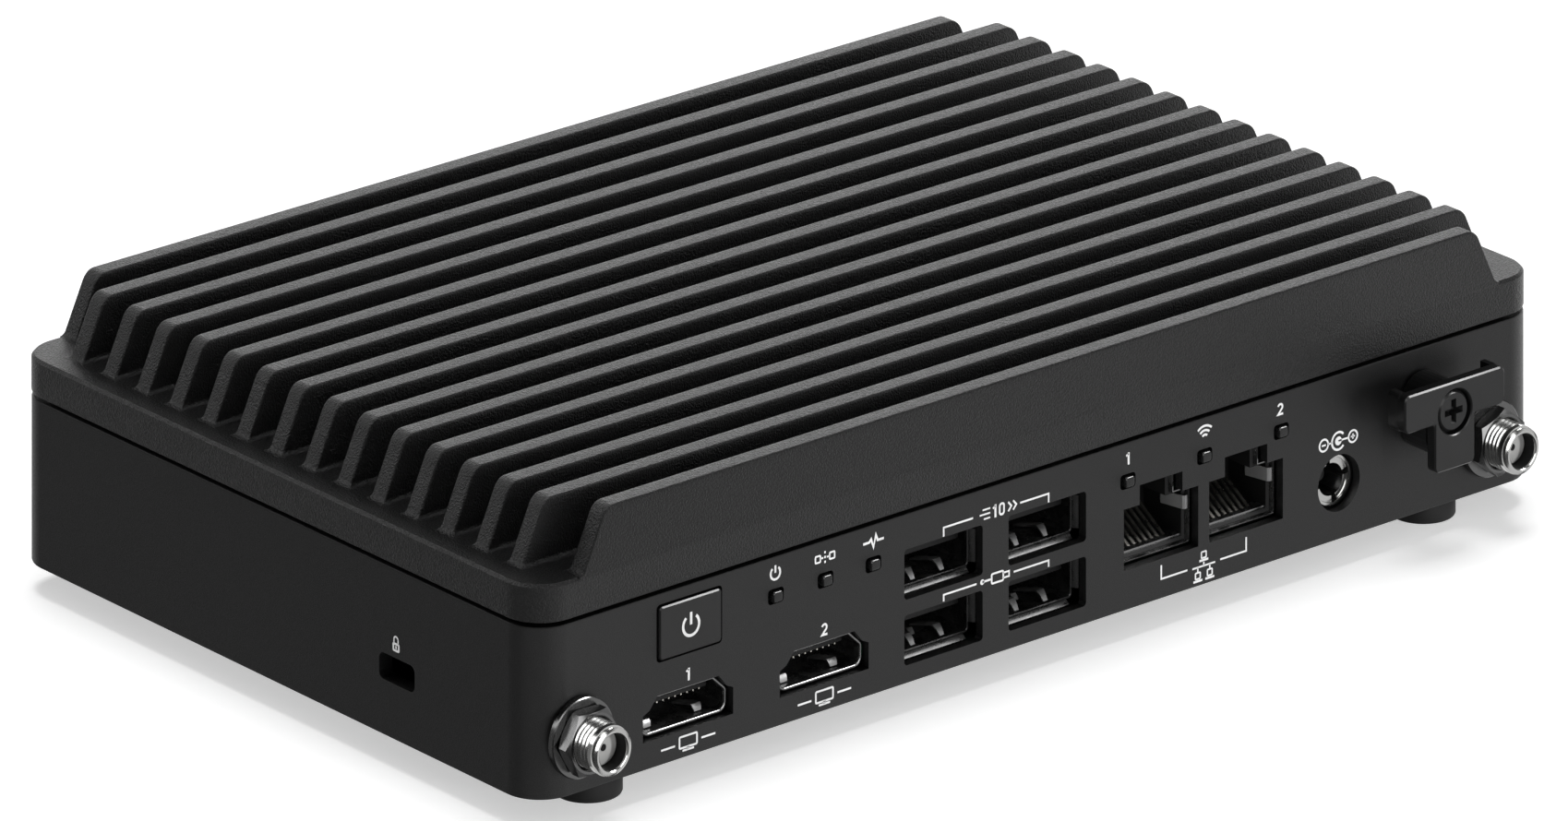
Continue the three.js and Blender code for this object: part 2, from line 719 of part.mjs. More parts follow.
function clipScrew() {
  const front = FRONT - CLIP.frontReach + 0.3;
  const blank = turnedY([
    [0, front],
    [2.3, front],
    [2.65, front + 0.3],
    [2.65, front + 1.3],
    [1.5, front + 1.3],
    [1.5, BEHIND_FRONT + 2],
    [0, BEHIND_FRONT + 2],
  ], CLIP.x, CLIP.z, 24);
  const cross = join([
    box(CLIP.x - 1.4, CLIP.x + 1.4, front - 1, front + 0.9, CLIP.z - 0.3, CLIP.z + 0.3),
    box(CLIP.x - 0.3, CLIP.x + 0.3, front - 1, front + 0.9, CLIP.z - 1.4, CLIP.z + 1.4),
  ]);
  return cut(blank, [cross]);
}

// ---------------------------------------------------------------- boards and what is on them

function mainBoard() {
  const sheet = box(-BOARD.xHalf, BOARD.xHalf, BOARD.front, BOARD.back, BOARD.bottom, BOARD.top);
  const sunk = [
    ...USB.xs.map((x) => box(x - 7, x + 7, BOARD.front - 1, BEHIND_FRONT + 18, 0, 9)),
    ...VIDEO.xs.map((x) => box(x - 8, x + 8, BOARD.front - 1, BEHIND_FRONT + 13.4, 0, 9)),
  ];
  const nose = box(INLET.x - 2.9, INLET.x + 2.9, BOARD.front - 1, BEHIND_FRONT + INLET.depth, 0, 9);
  const corners = CORNERS.map(([, sx, sy]) => (
    box(
      sx < 0 ? -90 : FOOT_X - 5, sx < 0 ? 5 - FOOT_X : 90,
      sy < 0 ? -60 : FOOT_Y - 5, sy < 0 ? 5 - FOOT_Y : 60, 0, 9,
    )
  ));
  const holes = BOARD_SCREWS.map(([x, y]) => rodZ(1.25 + GAP, x, y, 0, 9, 12));
  return cut(sheet, [...sunk, nose, ...corners, ...holes]);
}

function boardScrew(x, y) {
  const seat = BOARD.top + GAP;
  return turnedZ([
    [0, FLOOR - 0.6],
    [1.25, FLOOR - 0.6],
    [1.25, seat],
    [2.5, seat],
    [2.5, seat + 1],
    [1.9, seat + 1.6],
    [0, seat + 1.6],
  ], x, y, 16);
}

function boxOnBoard(x0, x1, y0, y1, height) {
  return box(x0, x1, y0, y1, BOARD.top + GAP, BOARD.top + GAP + height);
}

function processor() {
  const { x, y } = PEDESTAL;
  const carrier = boxOnBoard(x - 20, x + 20, y - 13, y + 13, 1.1);
  return join([carrier, box(x - 8, x + 8, y - 5, y + 5, BOARD.top + 1, PROCESSOR_TOP)]);
}

function thermalPad() {
  const { x, y } = PEDESTAL;
  return box(x - 12, x + 12, y - 9, y + 9, PROCESSOR_TOP + GAP, PAD_TOP);
}

const MEMORY = { x: -39, y: 6 };

function memorySocket() {
  const { x, y } = MEMORY;
  const bar = boxOnBoard(x - 36, x + 36, y - 18, y - 12, 4);
  const slot = box(x - 34.2, x + 34.2, y - 15, y - 11, BOARD.top + 1.5, BOARD.top + 3.4);
  const arms = [-1, 1].map((s) => boxOnBoard(x + s * 35 - 1, x + s * 35 + 1, y - 13, y + 8, 3));
  return join([cut(bar, [slot]), ...arms]);
}

function memoryModule() {
  const { x, y } = MEMORY;
  const bottom = BOARD.top + 1.8;
  const sheet = box(x - 33.6, x + 33.6, y - 14.6, y + 15, bottom, bottom + 1);
  const chips = [-24, -8, 8, 24].map((dx) => (
    box(x + dx - 5.5, x + dx + 5.5, y - 5, y + 7, bottom + 0.9, bottom + 2)
  ));
  return join([sheet, ...chips]);
}

function driveModule() {
  const bottom = BOARD.top + 2.4;
  const sheet = box(-68, 12, 26, 48, bottom, bottom + 0.8);
  const chips = [-52, -31, -8].map((x) => box(x - 7, x + 7, 29, 45, bottom + 0.7, bottom + 2));
  const socket = box(8, 17, 25.5, 48.5, BOARD.top + GAP, bottom + 0.5);
  return join([sheet, ...chips, socket]);
}

const RADIO = { x: 50, y: 20 };

function wirelessCard() {
  const { x, y } = RADIO;
  return join([
    boxOnBoard(x - 11, x + 11, y - 15, y + 12, 0.8),
    boxOnBoard(x - 9, x + 9, y - 12, y + 2, 2.4),
  ]);
}

function coinCell() {
  return rodZ(8, 56, 41, BOARD.top + GAP, BOARD.top + GAP + 2.8, 28);
}

// Thin coaxial lead from the back of a connector to the wireless card.
function antennaLead(points) {
  const path = new THREE.CatmullRomCurve3(points.map((p) => new THREE.Vector3(...p)));
  const ring = new THREE.Shape();
  ring.absarc(0, 0, 0.6, 0, Math.PI * 2);
  const options = { steps: 10 * (points.length - 1), curveSegments: 4, extrudePath: path };
  return toSolid(new THREE.ExtrudeGeometry(ring, { ...options, bevelEnabled: false }));
}

const LEAD_START = ANTENNA_BACK + GAP;
const CARD_TOP = BOARD.top + GAP + 2.4 + 0.9;
const LEADS = {
  left: [
    [ANTENNAS.left.x, LEAD_START, ANTENNAS.left.z],
    [ANTENNAS.left.x, LEAD_START + 8, ANTENNAS.left.z + 2],
    [-74, -24, 14],
    [-40, -14, 16],
    [-8, -20, 16],
    [24, -16, 14],
    [RADIO.x - 4, RADIO.y - 14, CARD_TOP + 2],
    [RADIO.x - 4, RADIO.y - 6, CARD_TOP],
  ],
  right: [
    [ANTENNAS.right.x, LEAD_START, ANTENNAS.right.z],
    [ANTENNAS.right.x, LEAD_START + 8, ANTENNAS.right.z + 1],
    [70, -16, 10],
    [RADIO.x + 4, RADIO.y - 16, CARD_TOP + 2],
    [RADIO.x + 4, RADIO.y - 6, CARD_TOP],
  ],
};

// ---------------------------------------------------------------- putting it together

addNode('heat_sink', heatSink(), MATERIALS.heatSink);
addNode('lower_chassis', lowerChassis(), MATERIALS.chassis);
for (const [place, sx, sy] of CORNERS) {
  addNode(`foot_${place}`, foot(sx * FOOT_X, sy * FOOT_Y), MATERIALS.rubber);
  addNode(`case_screw_${place}`, caseScrew(sx * FOOT_X, sy * FOOT_Y), MATERIALS.blackSteel);
}

addNode('power_button', powerButton(), MATERIALS.darkPlastic);
addNode('switch_plunger', switchPlunger(), MATERIALS.darkPlastic);
addNode('power_switch', powerSwitch(), MATERIALS.darkPlastic);
for (const [name, x] of Object.entries(LIGHT_X)) {
  addNode(`light_pipe_${name}`, lightPipe(x), MATERIALS.lens);
}
addNode('indicator_board', indicatorBoard(), MATERIALS.board);

VIDEO.xs.forEach((x, i) => {
  addNode(`video_port_shell_${i + 1}`, videoShell(x), MATERIALS.shell);
  addNode(`video_port_tongue_${i + 1}`, videoTongue(x), MATERIALS.darkPlastic);
});
USB.xs.forEach((x, i) => {
  addNode(`usb_stack_shell_${i + 1}`, usbShell(x), MATERIALS.shell);
  addNode(`usb_stack_insert_${i + 1}`, usbInsert(x), MATERIALS.darkPlastic);
});
NETWORK.xs.forEach((x, i) => {
  addNode(`network_port_shell_${i + 1}`, networkShell(x), MATERIALS.shell);
  addNode(`network_port_insert_${i + 1}`, networkInsert(x), MATERIALS.darkPlastic);
});
addNode('power_inlet_body', inletBody(), MATERIALS.darkPlastic);
addNode('power_inlet_sleeve', inletSleeve(), MATERIALS.nickel);
addNode('power_inlet_pin', inletPin(), MATERIALS.nickel);

for (const [side, place] of Object.entries(ANTENNAS)) {
  addNode(`antenna_connector_${side}`, antennaConnector(place), MATERIALS.nickel);
  addNode(`antenna_insulator_${side}`, antennaInsulator(place), MATERIALS.whitePlastic);
  addNode(`antenna_washer_${side}`, antennaWasher(place), MATERIALS.nickel);
  addNode(`antenna_nut_${side}`, antennaNut(place), MATERIALS.nickel);
  addNode(`antenna_lead_${side}`, antennaLead(LEADS[side]), MATERIALS.rubber);
}

addNode('cable_clip', cableClip(), MATERIALS.darkPlastic);
addNode('clip_screw', clipScrew(), MATERIALS.blackSteel);

addNode('main_board', mainBoard(), MATERIALS.board);
BOARD_SCREWS.forEach(([x, y], i) => {
  addNode(`board_screw_${i + 1}`, boardScrew(x, y), MATERIALS.steel);
});
addNode('processor', processor(), MATERIALS.chip);
addNode('thermal_pad', thermalPad(), MATERIALS.pad);
addNode('memory_socket', memorySocket(), MATERIALS.darkPlastic);
addNode('memory_module', memoryModule(), MATERIALS.board);
addNode('solid_state_drive', driveModule(), MATERIALS.board);
addNode('wireless_card', wirelessCard(), MATERIALS.board);
addNode('coin_cell', coinCell(), MATERIALS.steel);

const miniPc = new THREE.Group();
miniPc.add(unit);
export default miniPc;
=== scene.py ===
"""Fanless mini PC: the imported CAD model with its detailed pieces, materials, light and camera."""

import json
import math

import bmesh
import bpy
from mathutils import Matrix, Vector


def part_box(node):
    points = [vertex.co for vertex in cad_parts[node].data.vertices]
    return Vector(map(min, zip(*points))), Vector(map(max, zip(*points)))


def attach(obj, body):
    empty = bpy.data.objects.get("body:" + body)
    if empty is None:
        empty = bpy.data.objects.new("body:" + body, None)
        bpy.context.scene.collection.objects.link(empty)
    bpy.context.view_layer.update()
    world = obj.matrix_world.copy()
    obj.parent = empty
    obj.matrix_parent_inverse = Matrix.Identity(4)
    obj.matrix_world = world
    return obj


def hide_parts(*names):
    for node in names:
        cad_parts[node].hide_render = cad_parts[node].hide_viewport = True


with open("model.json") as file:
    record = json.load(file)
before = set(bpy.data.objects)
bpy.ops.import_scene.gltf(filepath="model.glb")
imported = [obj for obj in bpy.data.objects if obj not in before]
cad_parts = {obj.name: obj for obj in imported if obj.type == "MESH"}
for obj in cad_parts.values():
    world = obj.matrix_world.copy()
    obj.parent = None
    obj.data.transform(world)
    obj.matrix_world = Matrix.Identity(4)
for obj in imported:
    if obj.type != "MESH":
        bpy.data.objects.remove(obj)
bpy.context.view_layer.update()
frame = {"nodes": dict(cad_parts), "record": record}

MM = 0.001
CASE = "case"
BUTTON_BODY = "button"

# ---- where things are


def corners(node):
    """Lowest and highest corner of a node, in millimetres."""
    low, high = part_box(node)
    return Vector(low) / MM, Vector(high) / MM


def middle(node):
    low, high = corners(node)
    return (low + high) / 2


LEFT, FRONT, UNDERSIDE = corners("lower_chassis")[0]    # FRONT is the port panel's outer face
sink_low, sink_high = corners("heat_sink")
LAMPS = {
    name: middle(f"light_pipe_{name}")
    for name in ("power", "storage", "activity", "network_1", "wireless", "network_2")
}


def reach(node):
    """How far a node's rear and front stand out of the port panel's face."""
    low, high = corners(node)
    return FRONT - high.y, FRONT - low.y


def on_front(u, v, w):
    """Panel coordinates: u to the right, v up, w out of the front panel."""
    return (u, FRONT - w, v)


def on_front_upright(v, u, w):
    """As on_front, with the first two coordinates swapped."""
    return on_front(u, v, w)


def on_left(u, v, w):
    """Left side coordinates: u towards the front, v up, w out of the left face."""
    return (LEFT - w, -u, v)


def on_top(u, v, w):
    return (u, v, w)


def on_floor(u, v, w):
    """Metres across the floor, and w in millimetres over it."""
    return (u / MM, v / MM, w)


# ---- making pieces

SHARP_DEGREES = 35
MID_ROUND = 0.3                     # the middle of a rounded edge, as a share of its radius
REPLACED = set()                    # CAD nodes that a piece stands in for


def new_object(name, data):
    made = bpy.data.objects.new(name, data)
    bpy.context.scene.collection.objects.link(made)
    return made


def make_object(name, data, slot, replaces=(), materials=None, body=CASE):
    """A piece in the slot's own finish, or in the materials given."""
    piece = new_object(name, data)
    for material in materials or [FINISHES[slot]]:
        data.materials.append(material)
    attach(piece, body)
    if replaces:
        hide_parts(*replaces)
        REPLACED.update(replaces)


def keep_sharp(bm, degrees):
    """Marks the edges where two faces meet at more than this angle."""
    for edge in bm.edges:
        if len(edge.link_faces) == 2 and edge.calc_face_angle(0) > math.radians(degrees):
            edge.smooth = False


class Builder:
    """Collects closed surfaces that end up as one object.

    They are given in millimetres, as (u, v, w), and place turns those into x, y, z.
    """

    def __init__(self, place=on_front):
        self.bm = bmesh.new()
        self.place = place

    def skin(self, rings, closed=False, smooth=True, material=0):
        """Skin over rings with equal point counts: capped at both ends, or closed into a loop."""
        rows = [[self.bm.verts.new(p) for p in ring] for ring in rings]
        pairs = list(zip(rows, rows[1:]))
        if closed:
            pairs.append((rows[-1], rows[0]))
        faces = []
        for low, high in pairs:
            for i, corner in enumerate(low):
                j = (i + 1) % len(low)
                faces.append(self.bm.faces.new((corner, low[j], high[j], high[i])))
        if not closed:
            faces.append(self.bm.faces.new(list(reversed(rows[0]))))
            faces.append(self.bm.faces.new(rows[-1]))
        for face in faces:
            face.smooth = smooth
            face.material_index = material
        bmesh.ops.recalc_face_normals(self.bm, faces=faces)

    def prism(self, points, low, high, place=None):
        """Flat outline pushed from low to high."""
        place = place or self.place
        self.skin([[place(u, v, w) for u, v in points] for w in (low, high)], smooth=False)

    def loft(self, outline, rows, closed=False, material=0):
        """Skins outline(inset) over (inset, w) rows."""
        rings = [[self.place(u, v, w) for u, v in outline(cut)] for cut, w in rows]
        self.skin(rings, closed=closed, material=material)

    def block(self, u, v, half_u, half_v, low, high, bevel=0.1, material=0):
        """Box from low to high w, its edges along w and at high w softened."""
        middle_cut = bevel * MID_ROUND
        rows = [(0, low), (0, high - bevel), (middle_cut, high - middle_cut), (bevel, high)]
        self.loft(
            lambda cut: rounded_rect(u, v, half_u - cut, half_v - cut, bevel, 2), rows,
            material=material)

    def turned(self, centre, profile, sides=48, closed=False, material=0):
        """Turns a profile of (radius, w) pairs round the centre."""
        self.skin([
            [self.place(u, v, w) for u, v in circle(centre[0], centre[1], radius, sides)]
            for radius, w in profile
        ], closed=closed, material=material)

    def stroke(self, points, width, low, high, closed=False):
        """Flat line of the given width along the points."""
        path = [Vector(p) for p in points]
        rings = []
        for i, point in enumerate(path):
            before = path[i - 1] if i > 0 or closed else None
            after = path[(i + 1) % len(path)] if i < len(path) - 1 or closed else None
            side = miter(before, point, after) * width / 2
            left, right = point + side, point - side
            ends = ((left, low), (left, high), (right, high), (right, low))
            rings.append([self.place(*uv, w) for uv, w in ends])
        self.skin(rings, closed=closed, smooth=False)

    def strip(self, path, widths, thick, material=0, place=None):
        """Bent sheet: path holds (centre, height, w) points, and widths runs along u."""
        place = place or self.place
        flat = [Vector((height, w)) for _, height, w in path]
        rings = []
        for i, (u, _, _) in enumerate(path):
            before = flat[i - 1] if i > 0 else None
            after = flat[i + 1] if i < len(flat) - 1 else None
            side = miter(before, flat[i], after) * thick / 2
            a, b = flat[i] + side, flat[i] - side
            half = widths[i] / 2
            rings.append([
                place(u - half, *a), place(u + half, *a), place(u + half, *b), place(u - half, *b),
            ])
        self.skin(rings, material=material)

    def data(self, sharp_degrees=SHARP_DEGREES):
        keep_sharp(self.bm, sharp_degrees)
        bmesh.ops.scale(self.bm, vec=(MM, MM, MM), verts=self.bm.verts)
        made = bpy.data.meshes.new("mesh")
        self.bm.to_mesh(made)
        self.bm.free()
        return made


# ---- outlines


def miter(before, point, after):
    """Sideways vector at a corner of a line, long enough to keep the line's width."""
    sides = []
    for a, b in ((before, point), (point, after)):
        if a is not None and b is not None:
            along = (b - a).normalized()
            sides.append(Vector((-along.y, along.x)))
    if len(sides) == 1:
        return sides[0]
    return (sides[0] + sides[1]) / max(1 + sides[0].dot(sides[1]), 0.25)


def circle(cx, cy, radius, sides=32, turn=0.0):
    step = 2 * math.pi / sides
    return [
        (cx + radius * math.cos(turn + i * step), cy + radius * math.sin(turn + i * step))
        for i in range(sides)
    ]


def arc(cx, cy, radius, start, end, steps=10):
    angles = [math.radians(start + (end - start) * i / steps) for i in range(steps + 1)]
    return [(cx + radius * math.cos(a), cy + radius * math.sin(a)) for a in angles]


def rounded_rect(cx, cy, half_x, half_y, radius, steps=5):
    points = []
    for quarter, (sx, sy) in enumerate(((1, 1), (-1, 1), (-1, -1), (1, -1))):
        x = cx + sx * (half_x - radius)
        y = cy + sy * (half_y - radius)
        points += arc(x, y, radius, quarter * 90, quarter * 90 + 90, steps)
    return points


def inset(points, distance):
    """Moves every side of an anticlockwise outline inwards."""
    path = [Vector(p) for p in points]
    count = len(path)
    return [
        path[i] + miter(path[i - 1], path[i], path[(i + 1) % count]) * distance
        for i in range(count)
    ]


def filleted(points, radii, steps=4):
    """Rounds the corners of an outline."""
    path = [Vector(p) for p in points]
    made = []
    for i, corner in enumerate(path):
        back = path[i - 1] - corner
        ahead = path[(i + 1) % len(path)] - corner
        half = back.angle(ahead) / 2
        setback = min(radii[i] / math.tan(half), 0.45 * min(back.length, ahead.length))
        radius = setback * math.tan(half)
        inwards = (back.normalized() + ahead.normalized()).normalized()
        centre = corner + inwards * radius / math.sin(half)
        start = corner + back.normalized() * setback - centre
        end = corner + ahead.normalized() * setback - centre
        first = math.atan2(start.y, start.x)
        turn = math.remainder(math.atan2(end.y, end.x) - first, 2 * math.pi)
        for k in range(steps + 1):
            angle = first + turn * k / steps
            made.append((centre.x + radius * math.cos(angle), centre.y + radius * math.sin(angle)))
    return made


def rounded_outline(points, radii):
    """An outline(inset) function for Builder.loft."""
    def outline(distance):
        return filleted(inset(points, distance), [max(r - distance, 0.05) for r in radii])
    return outline


def rect_outline(cx, cy, half_x, half_y, radius, steps=5):
    def outline(distance):
        left = max(radius - distance, 0.04)
        return rounded_rect(cx, cy, half_x - distance, half_y - distance, left, steps)
    return outline


def dome_rows(radius, top, base, steps=4):
    """Rows for Builder.loft: straight from base, then a quarter round that ends at top."""
    return [(0, base)] + arc(radius, top - radius, radius, 180, 90, steps)


def carved(body, tool):
    """Cuts one closed mesh out of another and gives the mesh that is left."""
    target, cutter = new_object("carved", body), new_object("tool", tool)
    step = target.modifiers.new("cut", "BOOLEAN")
    step.operation = "DIFFERENCE"
    step.solver = "EXACT"
    step.object = cutter
    bpy.context.view_layer.update()
    evaluated = target.evaluated_get(bpy.context.evaluated_depsgraph_get())
    result = bpy.data.meshes.new_from_object(evaluated)
    for helper in (target, cutter):
        bpy.data.objects.remove(helper)
    bm = bmesh.new()
    bm.from_mesh(result)
    keep_sharp(bm, SHARP_DEGREES)
    bm.to_mesh(result)
    bm.free()
    return result


# ---- materials


def new_material(name, color, roughness, metallic=0.0, specular=0.5):
    material = bpy.data.materials.new(name)
    material.use_nodes = True
    shader = material.node_tree.nodes["Principled BSDF"]
    shader.inputs["Base Color"].default_value = (*color, 1)
    shader.inputs["Roughness"].default_value = roughness
    shader.inputs["Metallic"].default_value = metallic
    shader.inputs["Specular IOR Level"].default_value = specular
    return material, shader


def add_node(material, kind, **values):
    made = material.node_tree.nodes.new(kind)
    for key, value in values.items():
        made.inputs[key].default_value = value
    return made


def link(material, source, target):
    material.node_tree.links.new(source, target)


def noise(material, size_mm, detail=3.0, rough=0.5):
    """Noise whose blobs are about size_mm across."""
    where = add_node(material, "ShaderNodeTexCoord")
    scale = 1 / (size_mm * MM)
    texture = add_node(material, "ShaderNodeTexNoise", Scale=scale, Detail=detail, Roughness=rough)
    link(material, where.outputs["Object"], texture.inputs["Vector"])
    return texture.outputs["Fac"]


def add_bump(material, shader, height, strength, depth_mm):
    bump = add_node(material, "ShaderNodeBump", Strength=strength, Distance=depth_mm * MM)
    link(material, height, bump.inputs["Height"])
    link(material, bump.outputs["Normal"], shader.inputs["Normal"])


def vary(material, source, target, low, high):
    """Maps a texture between two values and feeds it to a socket."""
    spread = add_node(material, "ShaderNodeMapRange")
    for key, value in (("From Min", 0.3), ("From Max", 0.7), ("To Min", low), ("To Max", high)):
        spread.inputs[key].default_value = value
    link(material, source, spread.inputs["Value"])
    link(material, spread.outputs["Result"], target)


def tint(material, source, shader, dark, light):
    ramp = add_node(material, "ShaderNodeValToRGB")
    ramp.color_ramp.elements[0].position = 0.35
    ramp.color_ramp.elements[0].color = (*dark, 1)
    ramp.color_ramp.elements[1].position = 0.65
    ramp.color_ramp.elements[1].color = (*light, 1)
    link(material, source, ramp.inputs["Fac"])
    link(material, ramp.outputs["Color"], shader.inputs["Base Color"])


def coated(name, color, roughness, grain_mm, depth_mm):
    """Black coat over cast or formed metal: a sandy grain and slight tone changes."""
    material, shader = new_material(name, color, roughness)
    grain = noise(material, grain_mm, 2.0, 0.6)
    add_bump(material, shader, grain, 1.0, depth_mm)
    vary(material, grain, shader.inputs["Roughness"], roughness + 0.1, roughness - 0.1)
    tint(material, grain, shader, [c * 0.75 for c in color], [c * 1.25 for c in color])
    return material


def metal(name, color, roughness, dent=0.1):
    material, shader = new_material(name, color, roughness, metallic=1.0)
    wear = noise(material, 1.5, 3)
    vary(material, wear, shader.inputs["Roughness"], roughness * 0.8, roughness * 1.3)
    add_bump(material, shader, noise(material, 0.25, 1), dent, 0.003)
    return material


def plastic(name, color, roughness, strength=0.12, specular=0.5, metallic=0.0):
    material, shader = new_material(name, color, roughness, metallic, specular)
    add_bump(material, shader, noise(material, 0.35, 2), strength, 0.05)
    cloud = noise(material, 5, 2)
    tint(material, cloud, shader, [c * 0.92 for c in color], [c * 1.08 for c in color])
    return material


def gray(value):
    return (value, value, value * 1.02)


FINISHES = {
    "cast_aluminium": coated("cast coat", gray(0.008), 0.4, 0.26, 0.2),
    "coated_aluminium": coated("smooth coat", gray(0.008), 0.45, 0.15, 0.03),
    "rubber_foot": plastic("foot rubber", gray(0.008), 0.7),
    "black_steel": plastic("blackened steel", gray(0.012), 0.3, strength=0.05, specular=0.4),
    "dark_plastic": plastic("satin black", gray(0.012), 0.33, strength=0.05, specular=0.42),
    "lens_plastic": plastic("smoked lens", gray(0.008), 0.25, strength=0.03),
    "circuit_board": plastic("solder mask", (0.01, 0.06, 0.03), 0.35),
    "port_metal": metal("plated sheet", (0.26, 0.26, 0.26), 0.26, dent=0.02),
    "bright_metal": metal("nickel", (0.62, 0.62, 0.61), 0.16, dent=0.05),
    "white_plastic": plastic("white insulator", (0.5, 0.5, 0.49), 0.4),
    "cable_jacket": plastic("cable jacket", gray(0.015), 0.5),
    "plain_steel": metal("plain steel", (0.5, 0.5, 0.5), 0.35),
    "chip_package": plastic("chip package", gray(0.03), 0.5),
    "soft_pad": plastic("soft pad", (0.28, 0.30, 0.34), 0.8),
}
INK = plastic("white print", (0.88, 0.88, 0.88), 0.5, strength=0.02)
# Black of the sockets' real insulators; the same black is also painted shade in the antenna sockets'
# bores and pin holes.
INSULATOR_AND_SHADE_BLACK = plastic("socket insulator and painted shade", gray(0.008), 0.55, specular=0.3)
CONTACT = metal("contact plating", (0.62, 0.60, 0.55), 0.3)
# Nickel of the washers and nuts: the satin finish is real, its dark colour is painted shade; the
# thread's nickel keeps the true tone.
SHADED_SATIN_NICKEL = metal("satin nickel darkened for shade", (0.17, 0.17, 0.17), 0.22, dent=0.02)
SPRING_STEEL = metal("spring steel", (0.28, 0.28, 0.28), 0.42)
MATT_TIN = plastic("matt tin", (0.34, 0.34, 0.34), 0.35, metallic=0.5)


def dress_cad():
    """Gives every carried-over CAD node its finish."""
    slots = {entry["node"]: entry["material_slot"] for entry in frame["record"]["subparts"]}
    for node, made in frame["nodes"].items():
        made.data.materials.clear()
        made.data.materials.append(FINISHES[slots[node]])


def smooth_group():
    """Geometry nodes that shade smooth and keep the sharp edges."""
    group = bpy.data.node_groups.new("smooth by angle", "GeometryNodeTree")
    group.interface.new_socket("Geometry", in_out="INPUT", socket_type="NodeSocketGeometry")
    group.interface.new_socket("Geometry", in_out="OUTPUT", socket_type="NodeSocketGeometry")
    start = group.nodes.new("NodeGroupInput")
    end = group.nodes.new("NodeGroupOutput")
    faces = group.nodes.new("GeometryNodeSetShadeSmooth")
    edges = group.nodes.new("GeometryNodeSetShadeSmooth")
    edges.domain = "EDGE"
    edges.inputs["Shade Smooth"].default_value = False
    angle = group.nodes.new("GeometryNodeInputMeshEdgeAngle")
    compare = group.nodes.new("FunctionNodeCompare")
    compare.operation = "GREATER_THAN"
    compare.inputs[1].default_value = math.radians(SHARP_DEGREES)
    for source, target in (
        (start.outputs[0], faces.inputs["Geometry"]),
        (faces.outputs[0], edges.inputs["Geometry"]),
        (angle.outputs["Unsigned Angle"], compare.inputs[0]),
        (compare.outputs[0], edges.inputs["Selection"]),
        (edges.outputs[0], end.inputs[0]),
    ):
        group.links.new(source, target)
    return group


SMOOTH = smooth_group()
WELD_GAP = 0.0005                   # corners this close are joined
FLAT_DEGREES = 1                    # faces that meet at less are merged


def soften(node):
    """Joins the triangles of a CAD node and shades its curves smooth."""
    made = frame["nodes"][node]
    weld = made.modifiers.new("weld", "WELD")
    weld.merge_threshold = WELD_GAP * MM
    flat = made.modifiers.new("merge flats", "DECIMATE")
    flat.decimate_type = "DISSOLVE"
    flat.angle_limit = math.radians(FLAT_DEGREES)
    shade = made.modifiers.new("smooth", "NODES")
    shade.node_group = SMOOTH
    weight = made.modifiers.new("normals", "WEIGHTED_NORMAL")
    weight.keep_sharp = True
    weight.weight = 100


# ---- heat sink

FIN_COUNT = 16
FIN_THICK = 2.8
FIN_BASE_HALF = 83.2
END_FIN_BASE_HALF = 79.0
FIN_LEAN = 3.8
FIN_HEIGHT = 7.95                   # above the plate
FIN_ROOT = 0.6
FIN_EDGE = 0.3                      # rounding along the fin's top edges
FIN_CORNER = 1.3                    # rounding of its two top corners
FIN_SIDE = 0.3                      # rounding of its upright edges
PLATE_CHAMFER = 0.4
CASE_CORNER = 5.5
SKIRT_WALL = 2.2
SKIRT_EDGE = 0.25
SKIRT_HEIGHT = 4.9                  # from the seam to the plate's top
CEILING = 2.55                      # plate thickness
PLATE_TOP = sink_high.z - FIN_HEIGHT
ROOT_STEPS = (0, 0.1, 0.25, 0.5, 0.75, 1)


def quarter_sines(steps):
    return [math.sin(i / steps * math.pi / 2) for i in range(steps + 1)]


def fin_rows(is_end):
    """(height above the plate, flare of the root) pairs, from the root up."""
    rows = [(-PLATE_CHAMFER, FIN_ROOT)] if is_end else []
    rows += [
        (FIN_ROOT * rise, FIN_ROOT * (1 - math.sqrt(1 - (1 - rise) ** 2))) for rise in ROOT_STEPS
    ]
    rows += [(FIN_HEIGHT - FIN_CORNER * (1 - sine), 0.0) for sine in quarter_sines(6)]
    rows += [(FIN_HEIGHT - FIN_EDGE * (1 - sine), 0.0) for sine in quarter_sines(4)[:-1]]
    return sorted(rows)


def pinch_at(height, radius):
    """How far a rounded top edge has drawn in at this height."""
    above = height - (FIN_HEIGHT - radius)
    return radius - math.sqrt(max(radius ** 2 - above ** 2, 0)) if above > 0 else 0.0


def add_fin(builder, index):
    pitch = (sink_high.y - sink_low.y - FIN_THICK) / (FIN_COUNT - 1)
    is_first, is_last = index == 0, index == FIN_COUNT - 1
    is_end = is_first or is_last
    base_half = END_FIN_BASE_HALF if is_end else FIN_BASE_HALF
    y0 = sink_low.y + index * pitch
    rings = []
    for height, flare in fin_rows(is_end):
        lean = FIN_LEAN / FIN_HEIGHT * max(height, 0)
        half = base_half - lean - pinch_at(height, FIN_CORNER) + flare
        pinch = pinch_at(height, FIN_EDGE)
        front = y0 + pinch - (0 if is_first else flare)
        back = y0 + FIN_THICK - pinch + (0 if is_last else flare)
        outline = rounded_rect(0, (front + back) / 2, half, (back - front) / 2, FIN_SIDE, 3)
        rings.append([(x, y, PLATE_TOP + height) for x, y in outline])
    builder.skin(rings)


